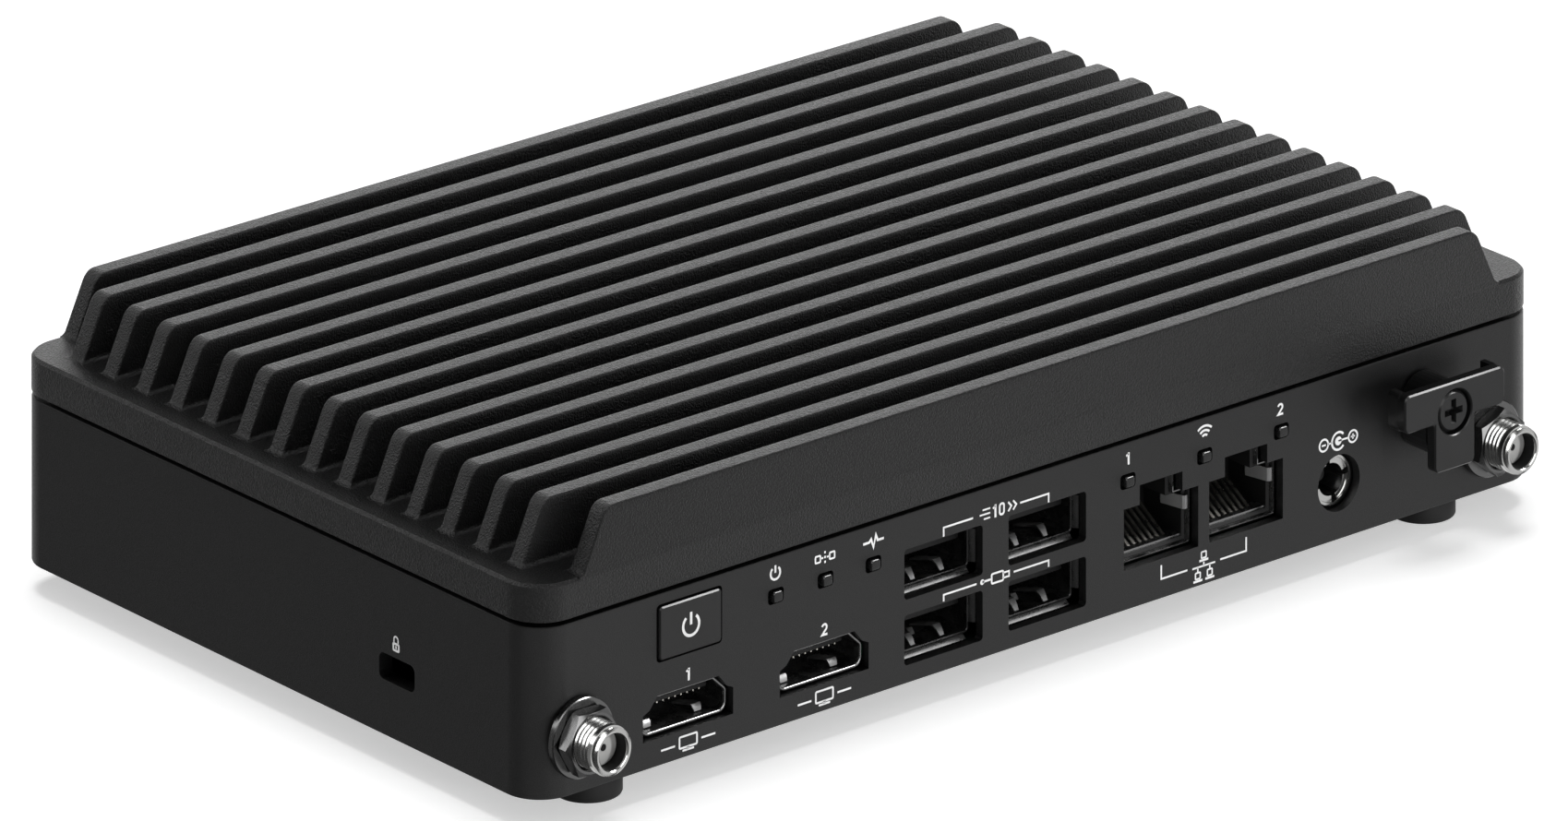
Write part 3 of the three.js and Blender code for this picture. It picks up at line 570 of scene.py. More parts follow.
def add_plate(builder):
    """Skirt and plate as one closed shell, open below."""
    seam = PLATE_TOP - SKIRT_HEIGHT
    rows = [
        (SKIRT_WALL, PLATE_TOP - CEILING),
        (SKIRT_WALL, seam),
        (SKIRT_EDGE, seam),
        (SKIRT_EDGE * MID_ROUND, seam + SKIRT_EDGE * MID_ROUND),
        (0, seam + SKIRT_EDGE),
        (0, PLATE_TOP - PLATE_CHAMFER),
        (PLATE_CHAMFER, PLATE_TOP),
    ]
    centre = (sink_low + sink_high) / 2
    half = (sink_high - sink_low) / 2
    builder.loft(rect_outline(centre.x, centre.y, half.x, half.y, CASE_CORNER, 12), rows)


def make_heat_sink():
    builder = Builder(on_top)
    add_plate(builder)
    for index in range(FIN_COUNT):
        add_fin(builder, index)
    make_object("heat_sink_casting", builder.data(), "cast_aluminium", ["heat_sink"])


# ---- button, lamps, feet


def make_button():
    low, high = corners("power_button")
    x, centre = (low.x + high.x) / 2, LAMPS["power"].z
    _, face = reach("power_button")
    half_width, half_height, chamfer = 5.15, 3.4, 0.18
    builder = Builder()
    cap = rect_outline(x, centre, half_width, half_height, 0.5)
    builder.loft(cap, [(0, -2.4), (0, face - chamfer), (chamfer, face)])
    flange = rect_outline(x, centre - 0.35, half_width + 0.85, half_height + 0.45, 0.6)
    builder.loft(flange, dome_rows(0.2, -1.75, -2.9))
    make_object(
        "power_button_cap", builder.data(), "dark_plastic", ["power_button"], body=BUTTON_BODY)
    ink = Signs(on_front, face)
    sign_power(ink.at(x, centre), 1.33, 0.38)
    make_object("power_button_sign", ink.data(), "white_plastic", (), [INK], BUTTON_BODY)


def make_lamps():
    for name, centre in LAMPS.items():
        builder = Builder()
        nose = rect_outline(centre.x, centre.z, 0.88, 0.74, 0.42)
        builder.loft(nose, dome_rows(0.34, 0.55, -3.2, 5))
        collar = rect_outline(centre.x, centre.z, 1.6, 1.05, 0.4)
        builder.loft(collar, dome_rows(0.15, -1.75, -2.5, 2))
        make_object(f"lamp_lens_{name}", builder.data(), "lens_plastic", [f"light_pipe_{name}"])


def make_feet():
    bore, lip = 3.0, 0.3
    for place in ("front_left", "front_right", "rear_left", "rear_right"):
        low, high = corners(f"foot_{place}")
        centre = (low + high) / 2
        radius = (high.x - low.x) / 2
        profile = [
            (bore, low.z + 0.25), (bore + 0.25, low.z),
            (radius - lip - 0.2, low.z), (radius - 0.1, low.z + 0.1), (radius, low.z + lip),
            (radius, high.z - 0.15), (radius - 0.15, high.z),
            (bore + 0.1, high.z), (bore, high.z - 0.1),
        ]
        builder = Builder(on_top)
        builder.turned(centre, profile, 72, closed=True)
        make_object(f"rubber_foot_{place}", builder.data(50), "rubber_foot", [f"foot_{place}"])


# ---- video ports

SHEET = 0.5                         # thickness of the socket's wall
VIDEO_DEPTH = 11.5
BLADE_CONTACTS = 19
BLADE_PITCH = 0.5
# Height over the socket's floor and depth of a spring finger
VIDEO_FINGER = [(0.15, -2.15), (0.6, -2.3), (0.9, -2.6), (0.8, -3.4), (0.05, -6.5)]


def add_fingers(builder, places, floor, curve, widths, thick):
    """Spring fingers, one at each place along u, that all follow the same curve."""
    for u in places:
        path = [(u, floor + height, w) for height, w in curve]
        builder.strip(path, widths, thick, 1)


def video_outline(node):
    """The socket is wide below and drawn in above."""
    low, high = corners(node)
    x = (low.x + high.x) / 2
    half, top = 7.15, 4.95
    base, roof = low.z + 0.12, high.z - 0.1
    points = [
        (x - half, base), (x + half, base), (x + half, base + 3.1),
        (x + top, roof), (x - top, roof), (x - half, base + 3.1),
    ]
    return x, base, roof, rounded_outline(points, [1.3, 1.3, 0.8, 0.7, 0.7, 0.8])


def make_video_port(number):
    x, base, roof, outline = video_outline(f"video_port_shell_{number}")
    shell = Builder()
    rim = arc(SHEET / 2, -1.1, SHEET / 2, 0, 180, 6)
    shell.loft(outline, [(0, -VIDEO_DEPTH), (SHEET, -VIDEO_DEPTH), *rim], closed=True)
    floor = base + SHEET
    widths = [1.125, 1.35, 1.5, 1.5, 1.5]
    add_fingers(shell, (x + 3.3, x - 5.1), floor, VIDEO_FINGER, widths, 0.22)
    make_object(
        f"video_port_can_{number}", shell.data(), "port_metal",
        [f"video_port_shell_{number}"], [FINISHES["port_metal"], SPRING_STEEL],
    )
    insert = Builder()
    level = roof - SHEET - 0.95
    insert.block(x, level, 5.3, 0.5, -11.4, -2.7, 0.15)
    insert.loft(outline, [(SHEET + 0.1, -11.3), (SHEET + 0.1, -8.6)])
    for i in range(BLADE_CONTACTS):                     # by turns over and under the blade
        u = x + (i - (BLADE_CONTACTS - 1) / 2) * BLADE_PITCH
        side = level + (0.5 if i % 2 == 0 else -0.5)
        insert.block(u, side + 0.01, 0.12, 0.11, -8.6, -2.62, 0.04, 1)
    make_object(
        f"video_port_blade_{number}", insert.data(), "dark_plastic",
        [f"video_port_tongue_{number}"], [INSULATOR_AND_SHADE_BLACK, CONTACT],
    )


# ---- type A ports

USB_HALF = 6.5
USB_HALF_HEIGHT = 2.85
USB_WALL = 0.32
USB_DEPTH = 17.5
USB_LEVELS = (5.65, 14.15)          # centre of each opening above the underside
# Outward offset and depth of a lip that flares from the sleeve to just behind the panel
LIP_CURVE = [(0.0, -3.0), (0.02, -2.75), (0.1, -2.5), (0.24, -2.24), (0.42, -2.0), (0.62, -1.78)]
LIP_THICK = 0.28
# Height over the can's floor and depth of the fingers
USB_FINGER = [(0.2, -2.85), (0.85, -3.35), (1.3, -3.95), (1.25, -4.4), (0.1, -8.5)]
SHORT_FINGER = [(0.5, -5.0), (1.1, -5.6), (0, -9.0)]


def add_usb_can(builder, x, level, is_lower):
    """One can of the stack: sleeve, four flared lips and its spring fingers."""
    sleeve = rect_outline(x, level, USB_HALF, USB_HALF_HEIGHT, 0.7)
    builder.loft(sleeve, [
        (0.08, -2.5), (0, -2.6), (0, -USB_DEPTH),
        (USB_WALL, -USB_DEPTH), (USB_WALL, -2.6), (USB_WALL - 0.08, -2.5),
    ], closed=True)
    shift, lift = (-0.35, 0.45) if is_lower else (0.0, 0.0)
    for sign in (-1, 1):
        edge = level + sign * (USB_HALF_HEIGHT - USB_WALL / 2)
        side = x + sign * (USB_HALF - USB_WALL / 2)
        lip = [(sign * out, w) for out, w in LIP_CURVE]
        level_path = [(x + shift, edge + out, w) for out, w in lip]
        builder.strip(level_path, [11.6 + shift] * len(lip), LIP_THICK)
        upright_path = [(level + lift, side + out, w) for out, w in lip]
        builder.strip(
            upright_path, [4.3 - lift] * len(lip), LIP_THICK, place=on_front_upright)
    floor = level - USB_HALF_HEIGHT + USB_WALL
    add_fingers(builder, (x + 2.1, x - 2.9), floor, USB_FINGER, [0.7, 0.95, 1.25, 1.3, 1.3], 0.22)
    if is_lower:
        add_fingers(builder, [x - 1.1], floor, SHORT_FINGER, [0.8, 0.9, 0.9], 0.2)


def add_usb_tongue(builder, x, level):
    """Back wall, tongue under the roof and its contacts."""
    roof = level + USB_HALF_HEIGHT - 0.35
    builder.block(x, level, 6.1, 2.4, -17.3, -14.0)
    builder.block(x, roof - 0.9, 5.6, 0.85, -14.2, -3.6, 0.12)
    for i in range(5):
        u = x + (i - 2) * 2.0
        builder.block(u, roof - 0.8, 0.25, 0.2, -3.8, -3.57, 0.05, 1)
    for i in range(4):
        u = x + (i - 1.5) * 2.4
        builder.block(u, roof - 1.8, 0.45, 0.1, -13.8, -4.4, 0.05, 2)


def make_usb_stack(number):
    low, high = corners(f"usb_stack_shell_{number}")
    centre = (low + high) / 2
    cans, inserts = Builder(), Builder()
    for i, height in enumerate(USB_LEVELS):
        level = UNDERSIDE + height
        add_usb_can(cans, centre.x, level, i == 0)
        add_usb_tongue(inserts, centre.x, level)
    for sign in (-1, 1):
        wall = centre.x + sign * (USB_HALF + 0.02)
        cans.block(wall, centre.z, 0.12, (high.z - low.z) / 2 - 0.3, -17.4, -3.2, 0.05)
    between = UNDERSIDE + sum(USB_LEVELS) / 2
    cans.block(centre.x, between, 6.3, 1.2, -17.4, -3.4)
    make_object(
        f"usb_stack_can_{number}", cans.data(), "port_metal",
        [f"usb_stack_shell_{number}"], [FINISHES["port_metal"], SPRING_STEEL],
    )
    make_object(
        f"usb_stack_tongues_{number}", inserts.data(), "dark_plastic",
        [f"usb_stack_insert_{number}"], [INSULATOR_AND_SHADE_BLACK, FINISHES["chip_package"], CONTACT],
    )


# ---- network ports

# How far a side spring reaches in from the wall, and its depth
TAB_CURVE = [(0.05, -1.6), (0.4, -1.62), (0.62, -1.8), (0.7, -2.1), (1.35, -5.2), (0.2, -6.6)]
# Height over the socket's floor and depth of a contact wire
CONTACT_CURVE = [(0.75, -3.2), (0.95, -3.5), (1.15, -3.9), (3.9, -8.4), (4.1, -9.3), (4.1, -9.8)]
CONTACT_PITCH = 1.02
NETWORK_WALL = 0.28
NETWORK_DEPTH = 16


def make_network_port(number):
    low, high = corners(f"network_port_shell_{number}")
    x = (low.x + high.x) / 2
    half, notch = (high.x - low.x) / 2 - 0.3, 3.45
    bottom, top = low.z + 0.3, high.z - 0.3
    shoulder = UNDERSIDE + 13.0
    outer = rounded_outline([
        (x - half, bottom), (x + half, bottom), (x + half, shoulder), (x + notch, shoulder),
        (x + notch, top), (x - notch, top), (x - notch, shoulder), (x - half, shoulder),
    ], [0.35, 0.35, 0.2, 0.12, 0.2, 0.2, 0.12, 0.2])
    can = Builder()
    can.loft(outer, [
        (0.08, -1.42), (0, -1.55), (0, -NETWORK_DEPTH),
        (NETWORK_WALL, -NETWORK_DEPTH), (NETWORK_WALL, -1.55), (NETWORK_WALL - 0.08, -1.42),
    ], closed=True)
    wall = half - 0.3
    for side in (-1, 1):
        path = [(bottom + 5.35, x + side * (wall - inwards), w) for inwards, w in TAB_CURVE]
        can.strip(path, [1.75] * len(path), 0.22, 1, on_front_upright)
    can.block(x, bottom + 0.675, half - 0.5, 0.375, -4.4, -2.5, 0.12)
    make_object(
        f"network_port_can_{number}", can.data(), "port_metal",
        [f"network_port_shell_{number}"], [FINISHES["port_metal"], MATT_TIN],
    )
    insert = Builder()
    insert.loft(outer, [(0.34, -2.1), (0.34, -9.6), (0.75, -9.6), (0.75, -2.3)], closed=True)
    insert.loft(outer, [(0.45, -16.8), (0.45, -9.7)])
    insert.prism(
        [(bottom + 0.35, -4.5), (bottom + 0.35, -9.6), (bottom + 2.6, -9.6), (bottom + 0.8, -4.5)],
        x - 4.6, x + 4.6, place=lambda v, w, u: on_front(u, v, w),
    )
    places = [x + (i - 3.5) * CONTACT_PITCH for i in range(8)]
    add_fingers(insert, places, bottom, CONTACT_CURVE, [0.42] * len(CONTACT_CURVE), 0.2)
    make_object(
        f"network_port_contacts_{number}", insert.data(), "dark_plastic",
        [f"network_port_insert_{number}"], [INSULATOR_AND_SHADE_BLACK, CONTACT],
    )


# ---- power inlet


def make_inlet():
    centre = middle("power_inlet_sleeve")
    u, v = centre.x, centre.z
    front, outer, bore, petal = -1.35, 3.5, 2.95, 2.15
    sleeve = Builder()
    sleeve.turned((u, v), [
        (outer - 0.1, front - 0.1), (outer, front - 0.3), (outer, -9.2), (bore, -9.2),
        (bore, front - 3.4), (bore, front - 0.15), (bore + 0.05, front), (outer - 0.2, front),
    ], 64, closed=True)
    for i in range(4):              # petals with gaps between them
        start, end = 21 + i * 90, 93 + i * 90
        ring = arc(u, v, bore - 0.03, start, end, 12) + arc(u, v, petal, end, start, 12)
        sleeve.prism(ring, front - 6.5, front - 0.3)
    make_object(
        "power_inlet_spring_sleeve", sleeve.data(), "bright_metal", ["power_inlet_sleeve"])
    pin = Builder()
    pin.turned((u, v), [
        (0.45, -3.7), (0.8, -3.8), (0.98, -4.1), (0.98, -11.6), (0.6, -11.7),
    ], 32)
    # The plated pin is given the blackened steel, painted shade deep inside the inlet.
    make_object(
        "power_inlet_centre_pin", pin.data(), "bright_metal",
        ["power_inlet_pin"], [FINISHES["black_steel"]],
    )


# ---- antenna connectors

HEX_FLAT = 3.9                      # centre to flat
NUT_SIDES = 96
BORE = 2.32                         # radius of the socket's mouth
CREST, ROOT = 3.17, 2.68            # radii of the thread
THREAD_PITCH = 0.7
NUT_TURN = {"left": 0.0, "right": 22.6}


def nut_rings(u, v, back, front, turn):
    """Two end circles and, between them, the hexagon where it meets the end cones."""
    end_radius, slope = HEX_FLAT - 0.08, 0.62
    rows = [[], [], [], []]
    for i in range(NUT_SIDES):
        angle = 2 * math.pi * i / NUT_SIDES
        radius = HEX_FLAT / math.cos(math.remainder(angle - math.pi / 6, math.pi / 3))
        drop = slope * (radius - end_radius)
        around = angle + math.radians(turn)
        a, b = math.cos(around), math.sin(around)
        for row, (r, w) in zip(rows, (
            (end_radius, back), (radius, back + drop), (radius, front - drop), (end_radius, front),
        )):
            row.append(on_front(u + r * a, v + r * b, w))
    return rows


def thread_profile(start, end):
    """Pairs of (radius, w) from start to end for a row of V-shaped ridges."""
    profile = []
    for i in range(round((end - start) / THREAD_PITCH)):
        w = start + i * THREAD_PITCH
        profile += [
            (ROOT, w), (ROOT, w + THREAD_PITCH * 0.1),
            (CREST, w + THREAD_PITCH * 0.4), (CREST, w + THREAD_PITCH * 0.52),
        ]
    return profile + [(ROOT, end)]


def make_antenna_thread(side, u, v):
    _, tip = reach(f"antenna_connector_{side}")
    body = Builder()
    collar = [
        (CREST - 0.06, 5.5), (CREST, 5.6), (CREST, 6.25), (2.86, 6.36), (2.86, 6.62),
        (CREST - 0.12, tip - 0.25), (2.72, tip - 0.05), (2.62, tip),
        (BORE + 0.12, tip), (BORE, tip - 0.1),
    ]
    inner = [(BORE, 3.4), (BORE, -0.6), (0.02, -0.6)]
    behind = [(0.02, -5.2), (2.6, -5.2), (2.6, -3.3), (4.1, -3.3), (4.1, -1.75), (ROOT, -1.75)]
    body.turned((u, v), behind + thread_profile(-1.6, 5.4) + collar + inner, 64)
    # A black sleeve over the metal wall of the bore, painted shade inside the socket's mouth.
    outer, inner = BORE + 0.02, BORE - 0.04
    bore_shade_lining = [(outer, -0.5), (outer, tip - 0.3), (inner, tip - 0.4), (inner, -0.5)]
    body.turned((u, v), bore_shade_lining, 64, closed=True, material=1)
    make_object(
        f"antenna_thread_{side}", body.data(30), "bright_metal",
        [f"antenna_connector_{side}"], [FINISHES["bright_metal"], INSULATOR_AND_SHADE_BLACK],
    )


def make_antenna_washer(side, u, v):
    back, front = reach(f"antenna_washer_{side}")
    washer = Builder()
    washer.turned((u, v), [
        (3.45, back - 0.25), (5.0, back - 0.25), (5.1, back - 0.15),
        (5.1, front - 0.12), (4.98, front), (3.45, front),
    ], 72, closed=True)
    make_object(
        f"antenna_flat_washer_{side}", washer.data(), "bright_metal",
        [f"antenna_washer_{side}"], [SHADED_SATIN_NICKEL],
    )


def make_antenna_nut(side, u, v):
    back, front = reach(f"antenna_nut_{side}")
    back -= 0.25
    turn = NUT_TURN[side]
    rings = nut_rings(u, v, back, front, turn)
    for radius, w in ((3.5, front), (3.3, front - 0.2), (3.3, back + 0.2), (3.5, back)):
        edge = circle(u, v, radius, NUT_SIDES, math.radians(turn))
        rings.append([on_front(a, b, w) for a, b in edge])
    nut = Builder()
    nut.skin(rings, closed=True)
    make_object(
        f"antenna_hex_nut_{side}", nut.data(18), "bright_metal",
        [f"antenna_nut_{side}"], [SHADED_SATIN_NICKEL],
    )


def make_antenna_core(side, u, v):
    core = Builder()
    core.turned((u, v), [
        (0.02, 3.2), (0.42, 3.2), (0.42, 4.85), (0.5, 4.93),
        (BORE - 0.2, 4.93), (BORE - 0.08, 4.8), (BORE - 0.05, -0.5), (0.02, -0.5),
    ], 48)
    # A black plug that fills the insulator's pin hole, painted shade in the hole.
    hole_shade_plug = [(0.02, 3.22), (0.44, 3.22), (0.44, 4.96), (0.02, 4.96)]
    core.turned((u, v), hole_shade_plug, 32, material=1)
    make_object(
        f"antenna_core_{side}", core.data(), "white_plastic",
        [f"antenna_insulator_{side}"], [FINISHES["white_plastic"], INSULATOR_AND_SHADE_BLACK],
    )


def make_antenna(side):
    centre = middle(f"antenna_connector_{side}")
    u, v = centre.x, centre.z
    make_antenna_thread(side, u, v)
    make_antenna_washer(side, u, v)
    make_antenna_nut(side, u, v)
    make_antenna_core(side, u, v)


# ---- cable clip


def plus_shape(cx, cy, arm, half_width):
    quarter = [(arm, half_width), (half_width, half_width), (half_width, arm)]
    points = []
    for _ in range(4):
        points += quarter
        quarter = [(-y, x) for x, y in quarter]
    return [(cx + x, cy + y) for x, y in points]


def make_clip():
    """T-shaped plate with folded ends on an oval boss."""
    low, high = corners("cable_clip")
    back, front = reach("cable_clip")
    centre = middle("clip_screw")
    x, stem, arm = centre.x, 3.6, high.z - 5.0
    shape = rounded_outline([
        (x - stem, low.z), (x + stem, low.z), (x + stem, arm), (high.x, arm),
        (high.x, high.z), (low.x, high.z), (low.x, arm), (x - stem, arm),
    ], [0.8, 0.8, 0.3, 0.9, 0.9, 0.9, 0.9, 0.3])
    plate, bore, boss = Builder(), Builder(), Builder()
    plate.loft(shape, [(0, front - 1.5), (0, front - 0.2), (0.2, front)])
    step = [(3.0, front - 3), (3.0, front - 0.15), (3.3, front + 0.15)]
    bore.turned((x, centre.z), step, 56)
    left_over = carved(plate.data(), bore.data())
    make_object("cable_clip_plate", left_over, "dark_plastic", ["cable_clip"])
    for outer, inner in ((low.x, low.x + 1.35), (high.x, high.x - 1.35)):
        end = [(outer, arm), (inner, arm), (inner, high.z), (outer, high.z)]
        rounded = filleted(end, [0.9, 0.05, 0.05, 0.9])
        boss.prism(rounded, front - 3.4, front - 1.4)
    oval = rounded_rect(x, centre.z - 1.4, stem, 5.0, stem - 0.05, 8)
    boss.prism(oval, back, front - 1.9)
    boss.turned((x, centre.z), [
        (2.95, front - 2.0), (3.5, front - 2.0), (3.5, front - 1.4), (2.95, front - 1.4),
    ], 56, closed=True)
    make_object("cable_clip_boss", boss.data(), "dark_plastic")


def make_clip_screw():
    centre = middle("clip_screw")
    _, face = reach("clip_screw")
    blank = Builder()
    blank.turned((centre.x, centre.z), [
        (1.5, -3.4), (1.5, face - 1.3), (2.62, face - 1.3), (2.68, face - 1.2), (2.68, face - 0.3),
        (2.38, face), (0.4, face),
    ], 56)
    cross = Builder()
    cross.skin([
        [on_front(u, v, w) for u, v in plus_shape(centre.x, centre.z, arm, half_width)]
        for arm, half_width, w in ((0.9, 0.25, face - 1.1), (1.8, 0.5, face + 0.3))
    ], smooth=False)
    head = carved(blank.data(), cross.data())
    make_object("clip_screw_head", head, "black_steel", ["clip_screw"])


# ---- printed signs

PRINT = (-0.06, 0.02)               # the ink's lower and upper level over its surface
LINE = 0.24
BRACKET_LINE = 0.25
DIGIT_HEIGHT = 1.6
SIGN_RISE = 2.95                    # from a lamp's centre to its sign's


class Signs(Builder):
    """Printed lines on one face, drawn round the point that at() sets."""

    def __init__(self, place=on_front, level=0.0):
        super().__init__(place)
        self.low, self.high = (level + value for value in PRINT)
        self.at(0, 0)

    def at(self, u, v):
        self.origin = (u, v)
        return self

    def moved(self, points):
        return [(self.origin[0] + u, self.origin[1] + v) for u, v in points]

    def line(self, points, width=LINE, closed=False):
        self.stroke(self.moved(points), width, self.low, self.high, closed)

    def fill(self, points):
        self.prism(self.moved(points), self.low, self.high)


def sign_power(signs, radius, width):
    signs.line(arc(0, 0, radius, 128, 412, 28), width)
    signs.line([(0, 0.05 * radius), (0, 1.25 * radius)], width)


def digit_one(signs, height=DIGIT_HEIGHT, u=0.0):
    width = height * 0.2
    stem = u + height * 0.06
    signs.line([(u - height * 0.2, height * 0.24), (stem, height * 0.4)], width * 0.8)
    signs.line([(stem, -height / 2), (stem, height / 2)], width)


def digit_two(signs, height=DIGIT_HEIGHT):
    radius = height * 0.24
    path = arc(0, height / 2 - radius - height * 0.08, radius, 165, -35, 12)
    path += [(-height * 0.24, -height * 0.41), (height * 0.31, -height * 0.41)]
    signs.line(path, height * 0.18)


def digit_zero(signs, height, u):
    outline = rounded_rect(u, 0, height * 0.22, height * 0.41, height * 0.2, 6)
    signs.line(outline, height * 0.17, closed=True)


def sign_storage(signs):
    for side in (-1, 1):
        signs.line(rounded_rect(side * 1.2, -0.05, 0.42, 0.42, 0.12, 2), closed=True)
        signs.line([(side * 0.76, -0.05), (side * 0.3, -0.05)])
    for step in (-1, 0, 1):
        signs.fill(rounded_rect(0, step * 0.62, 0.13, 0.15, 0.04, 1))


def sign_pulse(signs):
    signs.line([
        (-1.75, 0), (-0.75, 0), (-0.4, 0.35), (0, -0.75), (0.4, 0.75), (0.7, 0), (1.75, 0),
    ], 0.32)


def sign_wireless(signs):
    for radius in (0.62, 1.2, 1.8):
        signs.line(arc(0, -0.75, radius, 132, 48, 12), 0.3)


def sign_bracket(signs, left, right, gap, drop):
    """Line along two sockets with its ends turned towards them and a gap for a sign."""
    signs.line([(left, drop), (left, 0), (gap[0], 0)], BRACKET_LINE)
    signs.line([(gap[1], 0), (right, 0), (right, drop)], BRACKET_LINE)


def sign_speed(signs):
    """The number 10 between three speed lines and two arrows."""
    digit_one(signs, 1.7, -0.15)
    digit_zero(signs, 1.7, 1.05)
    for level, length in ((0.6, 1.3), (0, 1.8), (-0.6, 1.1)):
        signs.line([(-0.95 - length, level), (-0.95, level)], 0.22)
    for shift in (2.15, 3.0):
        signs.line([(shift, 0.6), (shift + 0.55, 0), (shift, -0.6)], 0.26)


def sign_plug(signs):
    """A plug with its lead."""
    signs.line(rounded_rect(0.3, 0, 1.0, 0.62, 0.18, 2), 0.26, closed=True)
    signs.line([(1.3, 0.33), (2.3, 0.33), (2.3, -0.33), (1.3, -0.33)])
    signs.line([(-0.75, 0), (-2.3, 0)], 0.28)
    signs.fill(circle(-2.3, 0, 0.36, 16))


def sign_screen(signs):
    """A display with a line on either side."""
    signs.line(rounded_rect(0, 0.18, 1.45, 0.72, 0.15, 2), 0.26, closed=True)
    signs.line([(0, -0.55), (0, -0.85)], 0.5)
    signs.line([(-0.95, -0.9), (0.95, -0.9)], 0.26)
    for side in (-1, 1):
        signs.line([(side * 2.2, 0), (side * 4.5, 0)], 0.26)


def little_screen(signs, u, v):
    signs.line(rounded_rect(u, v + 0.2, 0.42, 0.4, 0.08, 1), 0.22, closed=True)
    signs.line([(u - 0.78, v - 0.5), (u + 0.78, v - 0.5)], 0.3)


def sign_network(signs):
    """Three linked computers."""
    little_screen(signs, 0, 1.25)
    for side in (-1, 1):
        little_screen(signs, side * 1.05, -1.3)
        signs.line([(side * 1.05, 0), (side * 1.05, -0.6)])
    signs.line([(-2.0, 0), (2.0, 0)])
    signs.line([(0, 0), (0, 0.5)])


def sign_polarity(signs):
    """Centre positive: minus in the ring to the left, plus in the ring to the right."""
    for centre in (-2.6, 2.6):
        signs.line(circle(centre, 0, 0.78, 24), 0.26, closed=True)
        signs.line([(centre - 0.35, 0), (centre + 0.35, 0)])
    signs.line([(2.6, -0.35), (2.6, 0.35)])
    signs.line(arc(0, 0, 1.15, 40, 320, 24), 0.3)
    signs.fill(circle(0, 0, 0.58, 20))
    signs.line([(-1.82, 0), (-1.15, 0)])
    signs.line([(0, 0), (1.82, 0)])


def sign_lock(signs):
    """Padlock with a keyhole left open."""
    signs.line(arc(0, 0.35, 0.42, 0, 180, 8) + [(-0.42, -0.1)], 0.22)
    signs.line([(0.42, 0.35), (0.42, -0.1)], 0.22)
    signs.line(rounded_rect(0, -0.6, 0.55, 0.42, 0.08, 1), 0.3, closed=True)
    signs.line([(0, -0.4), (0, -0.8)])


def sign_lamps(signs):
    def over(name, shift=0.0):
        return signs.at(LAMPS[name].x + shift, LAMPS[name].z + SIGN_RISE)

    sign_power(over("power", -0.1), 0.8, 0.3)
    sign_storage(over("storage", -0.1))
    sign_pulse(over("activity"))
    digit_one(over("network_1"))
    sign_wireless(over("wireless"))
    digit_two(over("network_2", -0.2))


def make_signs():
    signs = Signs()
    sign_lamps(signs)
    for number, digit in ((1, digit_one), (2, digit_two)):
        low, high = corners(f"video_port_shell_{number}")
        x = (low.x + high.x) / 2
        digit(signs.at(x, high.z + 1.55))
        sign_screen(signs.at(x, low.z - 1.75))
    left, right = (middle(f"usb_stack_shell_{number}").x for number in (1, 2))
    half_way, half = (left + right) / 2, (right - left) / 2
    for level, gap, drop, sign in (
        (18.65, (-3.9, 4.2), -1.15, sign_speed), (9.95, (-3.3, 3.1), -0.85, sign_plug),
    ):
        signs.at(half_way, UNDERSIDE + level)
        sign_bracket(signs, -half, half + 0.2, gap, drop)
        sign(signs)
    left, right = (middle(f"network_port_shell_{number}").x for number in (1, 2))
    half_way, half = (left + right) / 2, (right - left) / 2
    base = UNDERSIDE + 2.65
    sign_bracket(signs.at(half_way, base), -half, half, (-2.9, 2.9), 1.8)
    sign_network(signs.at(half_way, base - 0.1))
    inlet = middle("power_inlet_sleeve")
    sign_polarity(signs.at(inlet.x - 0.1, inlet.z + 5.6))
    make_object("front_signs", signs.data(), "white_plastic", (), [INK])
    lock = Signs(on_left)
    sign_lock(lock.at(22.74, UNDERSIDE + 12.6))
    make_object("lock_sign", lock.data(), "white_plastic", (), [INK])


# ---- stage, light and camera

LENS = 373.05
SENSOR = 36.0
CAMERA_SIDE = math.radians(40.159)  # how far round to the left the camera stands
VIEW_SLOPE = 0.37445                # how much the view falls for each metre ahead
CAMERA_AT = Vector((-1305.1, -1543.3, 775.46)) * MM
SURROUND_LEVEL = 0.05
FLOOR_GLOW = 0.5
FLOOR_HALF = 60.0                   # metres
# Where each light comes from, its strength and its spread in degrees; the first two light the floor
SHADOW_LIGHT = ((0.05, 0.09, 1.0), 1.75, 32)
UNDER_LIGHT = ((-0.6, -1.0, 0.8), 0.75, 60)
FRONT_FILL = ((0.5, -1.0, 0.04), 1.4, 10)
# Seen in gloss only: where each comes from, its strength, its spread and the pieces it shines on
SOFT_BOXES = {
    "low right box": ((0.604, -0.716, -0.351), 1.0, 90, "all"),
    "low left box": ((-0.604, 0.716, -0.351), 0.16, 70, "all"),
    "low rear box": ((0.6, 0.72, -0.35), 1.2, 90, "all"),
    "low front box": ((-0.64, -0.64, -0.42), 0.6, 90, "matt"),
    "right box": ((1.0, 0.1, -0.1), 0.4, 60, "matt"),
    "back right box": ((0.604, 0.716, 0.38), 0.56, 40, "all"),
    "back left box": ((-0.40, 0.72, 0.53), 1.0, 40, "all"),
    "top box": ((-0.15, -0.15, 1.0), 0.6, 30, "all"),
    "chamfer box": ((0.604, -0.38, 0.70), 0.5, 30, "all"),
    "front box": ((-0.2, -0.85, 0.33), 1.7, 50, "details"),
    "edge box": ((0.604, -0.38, 0.70), 2.8, 20, "edges"),
}


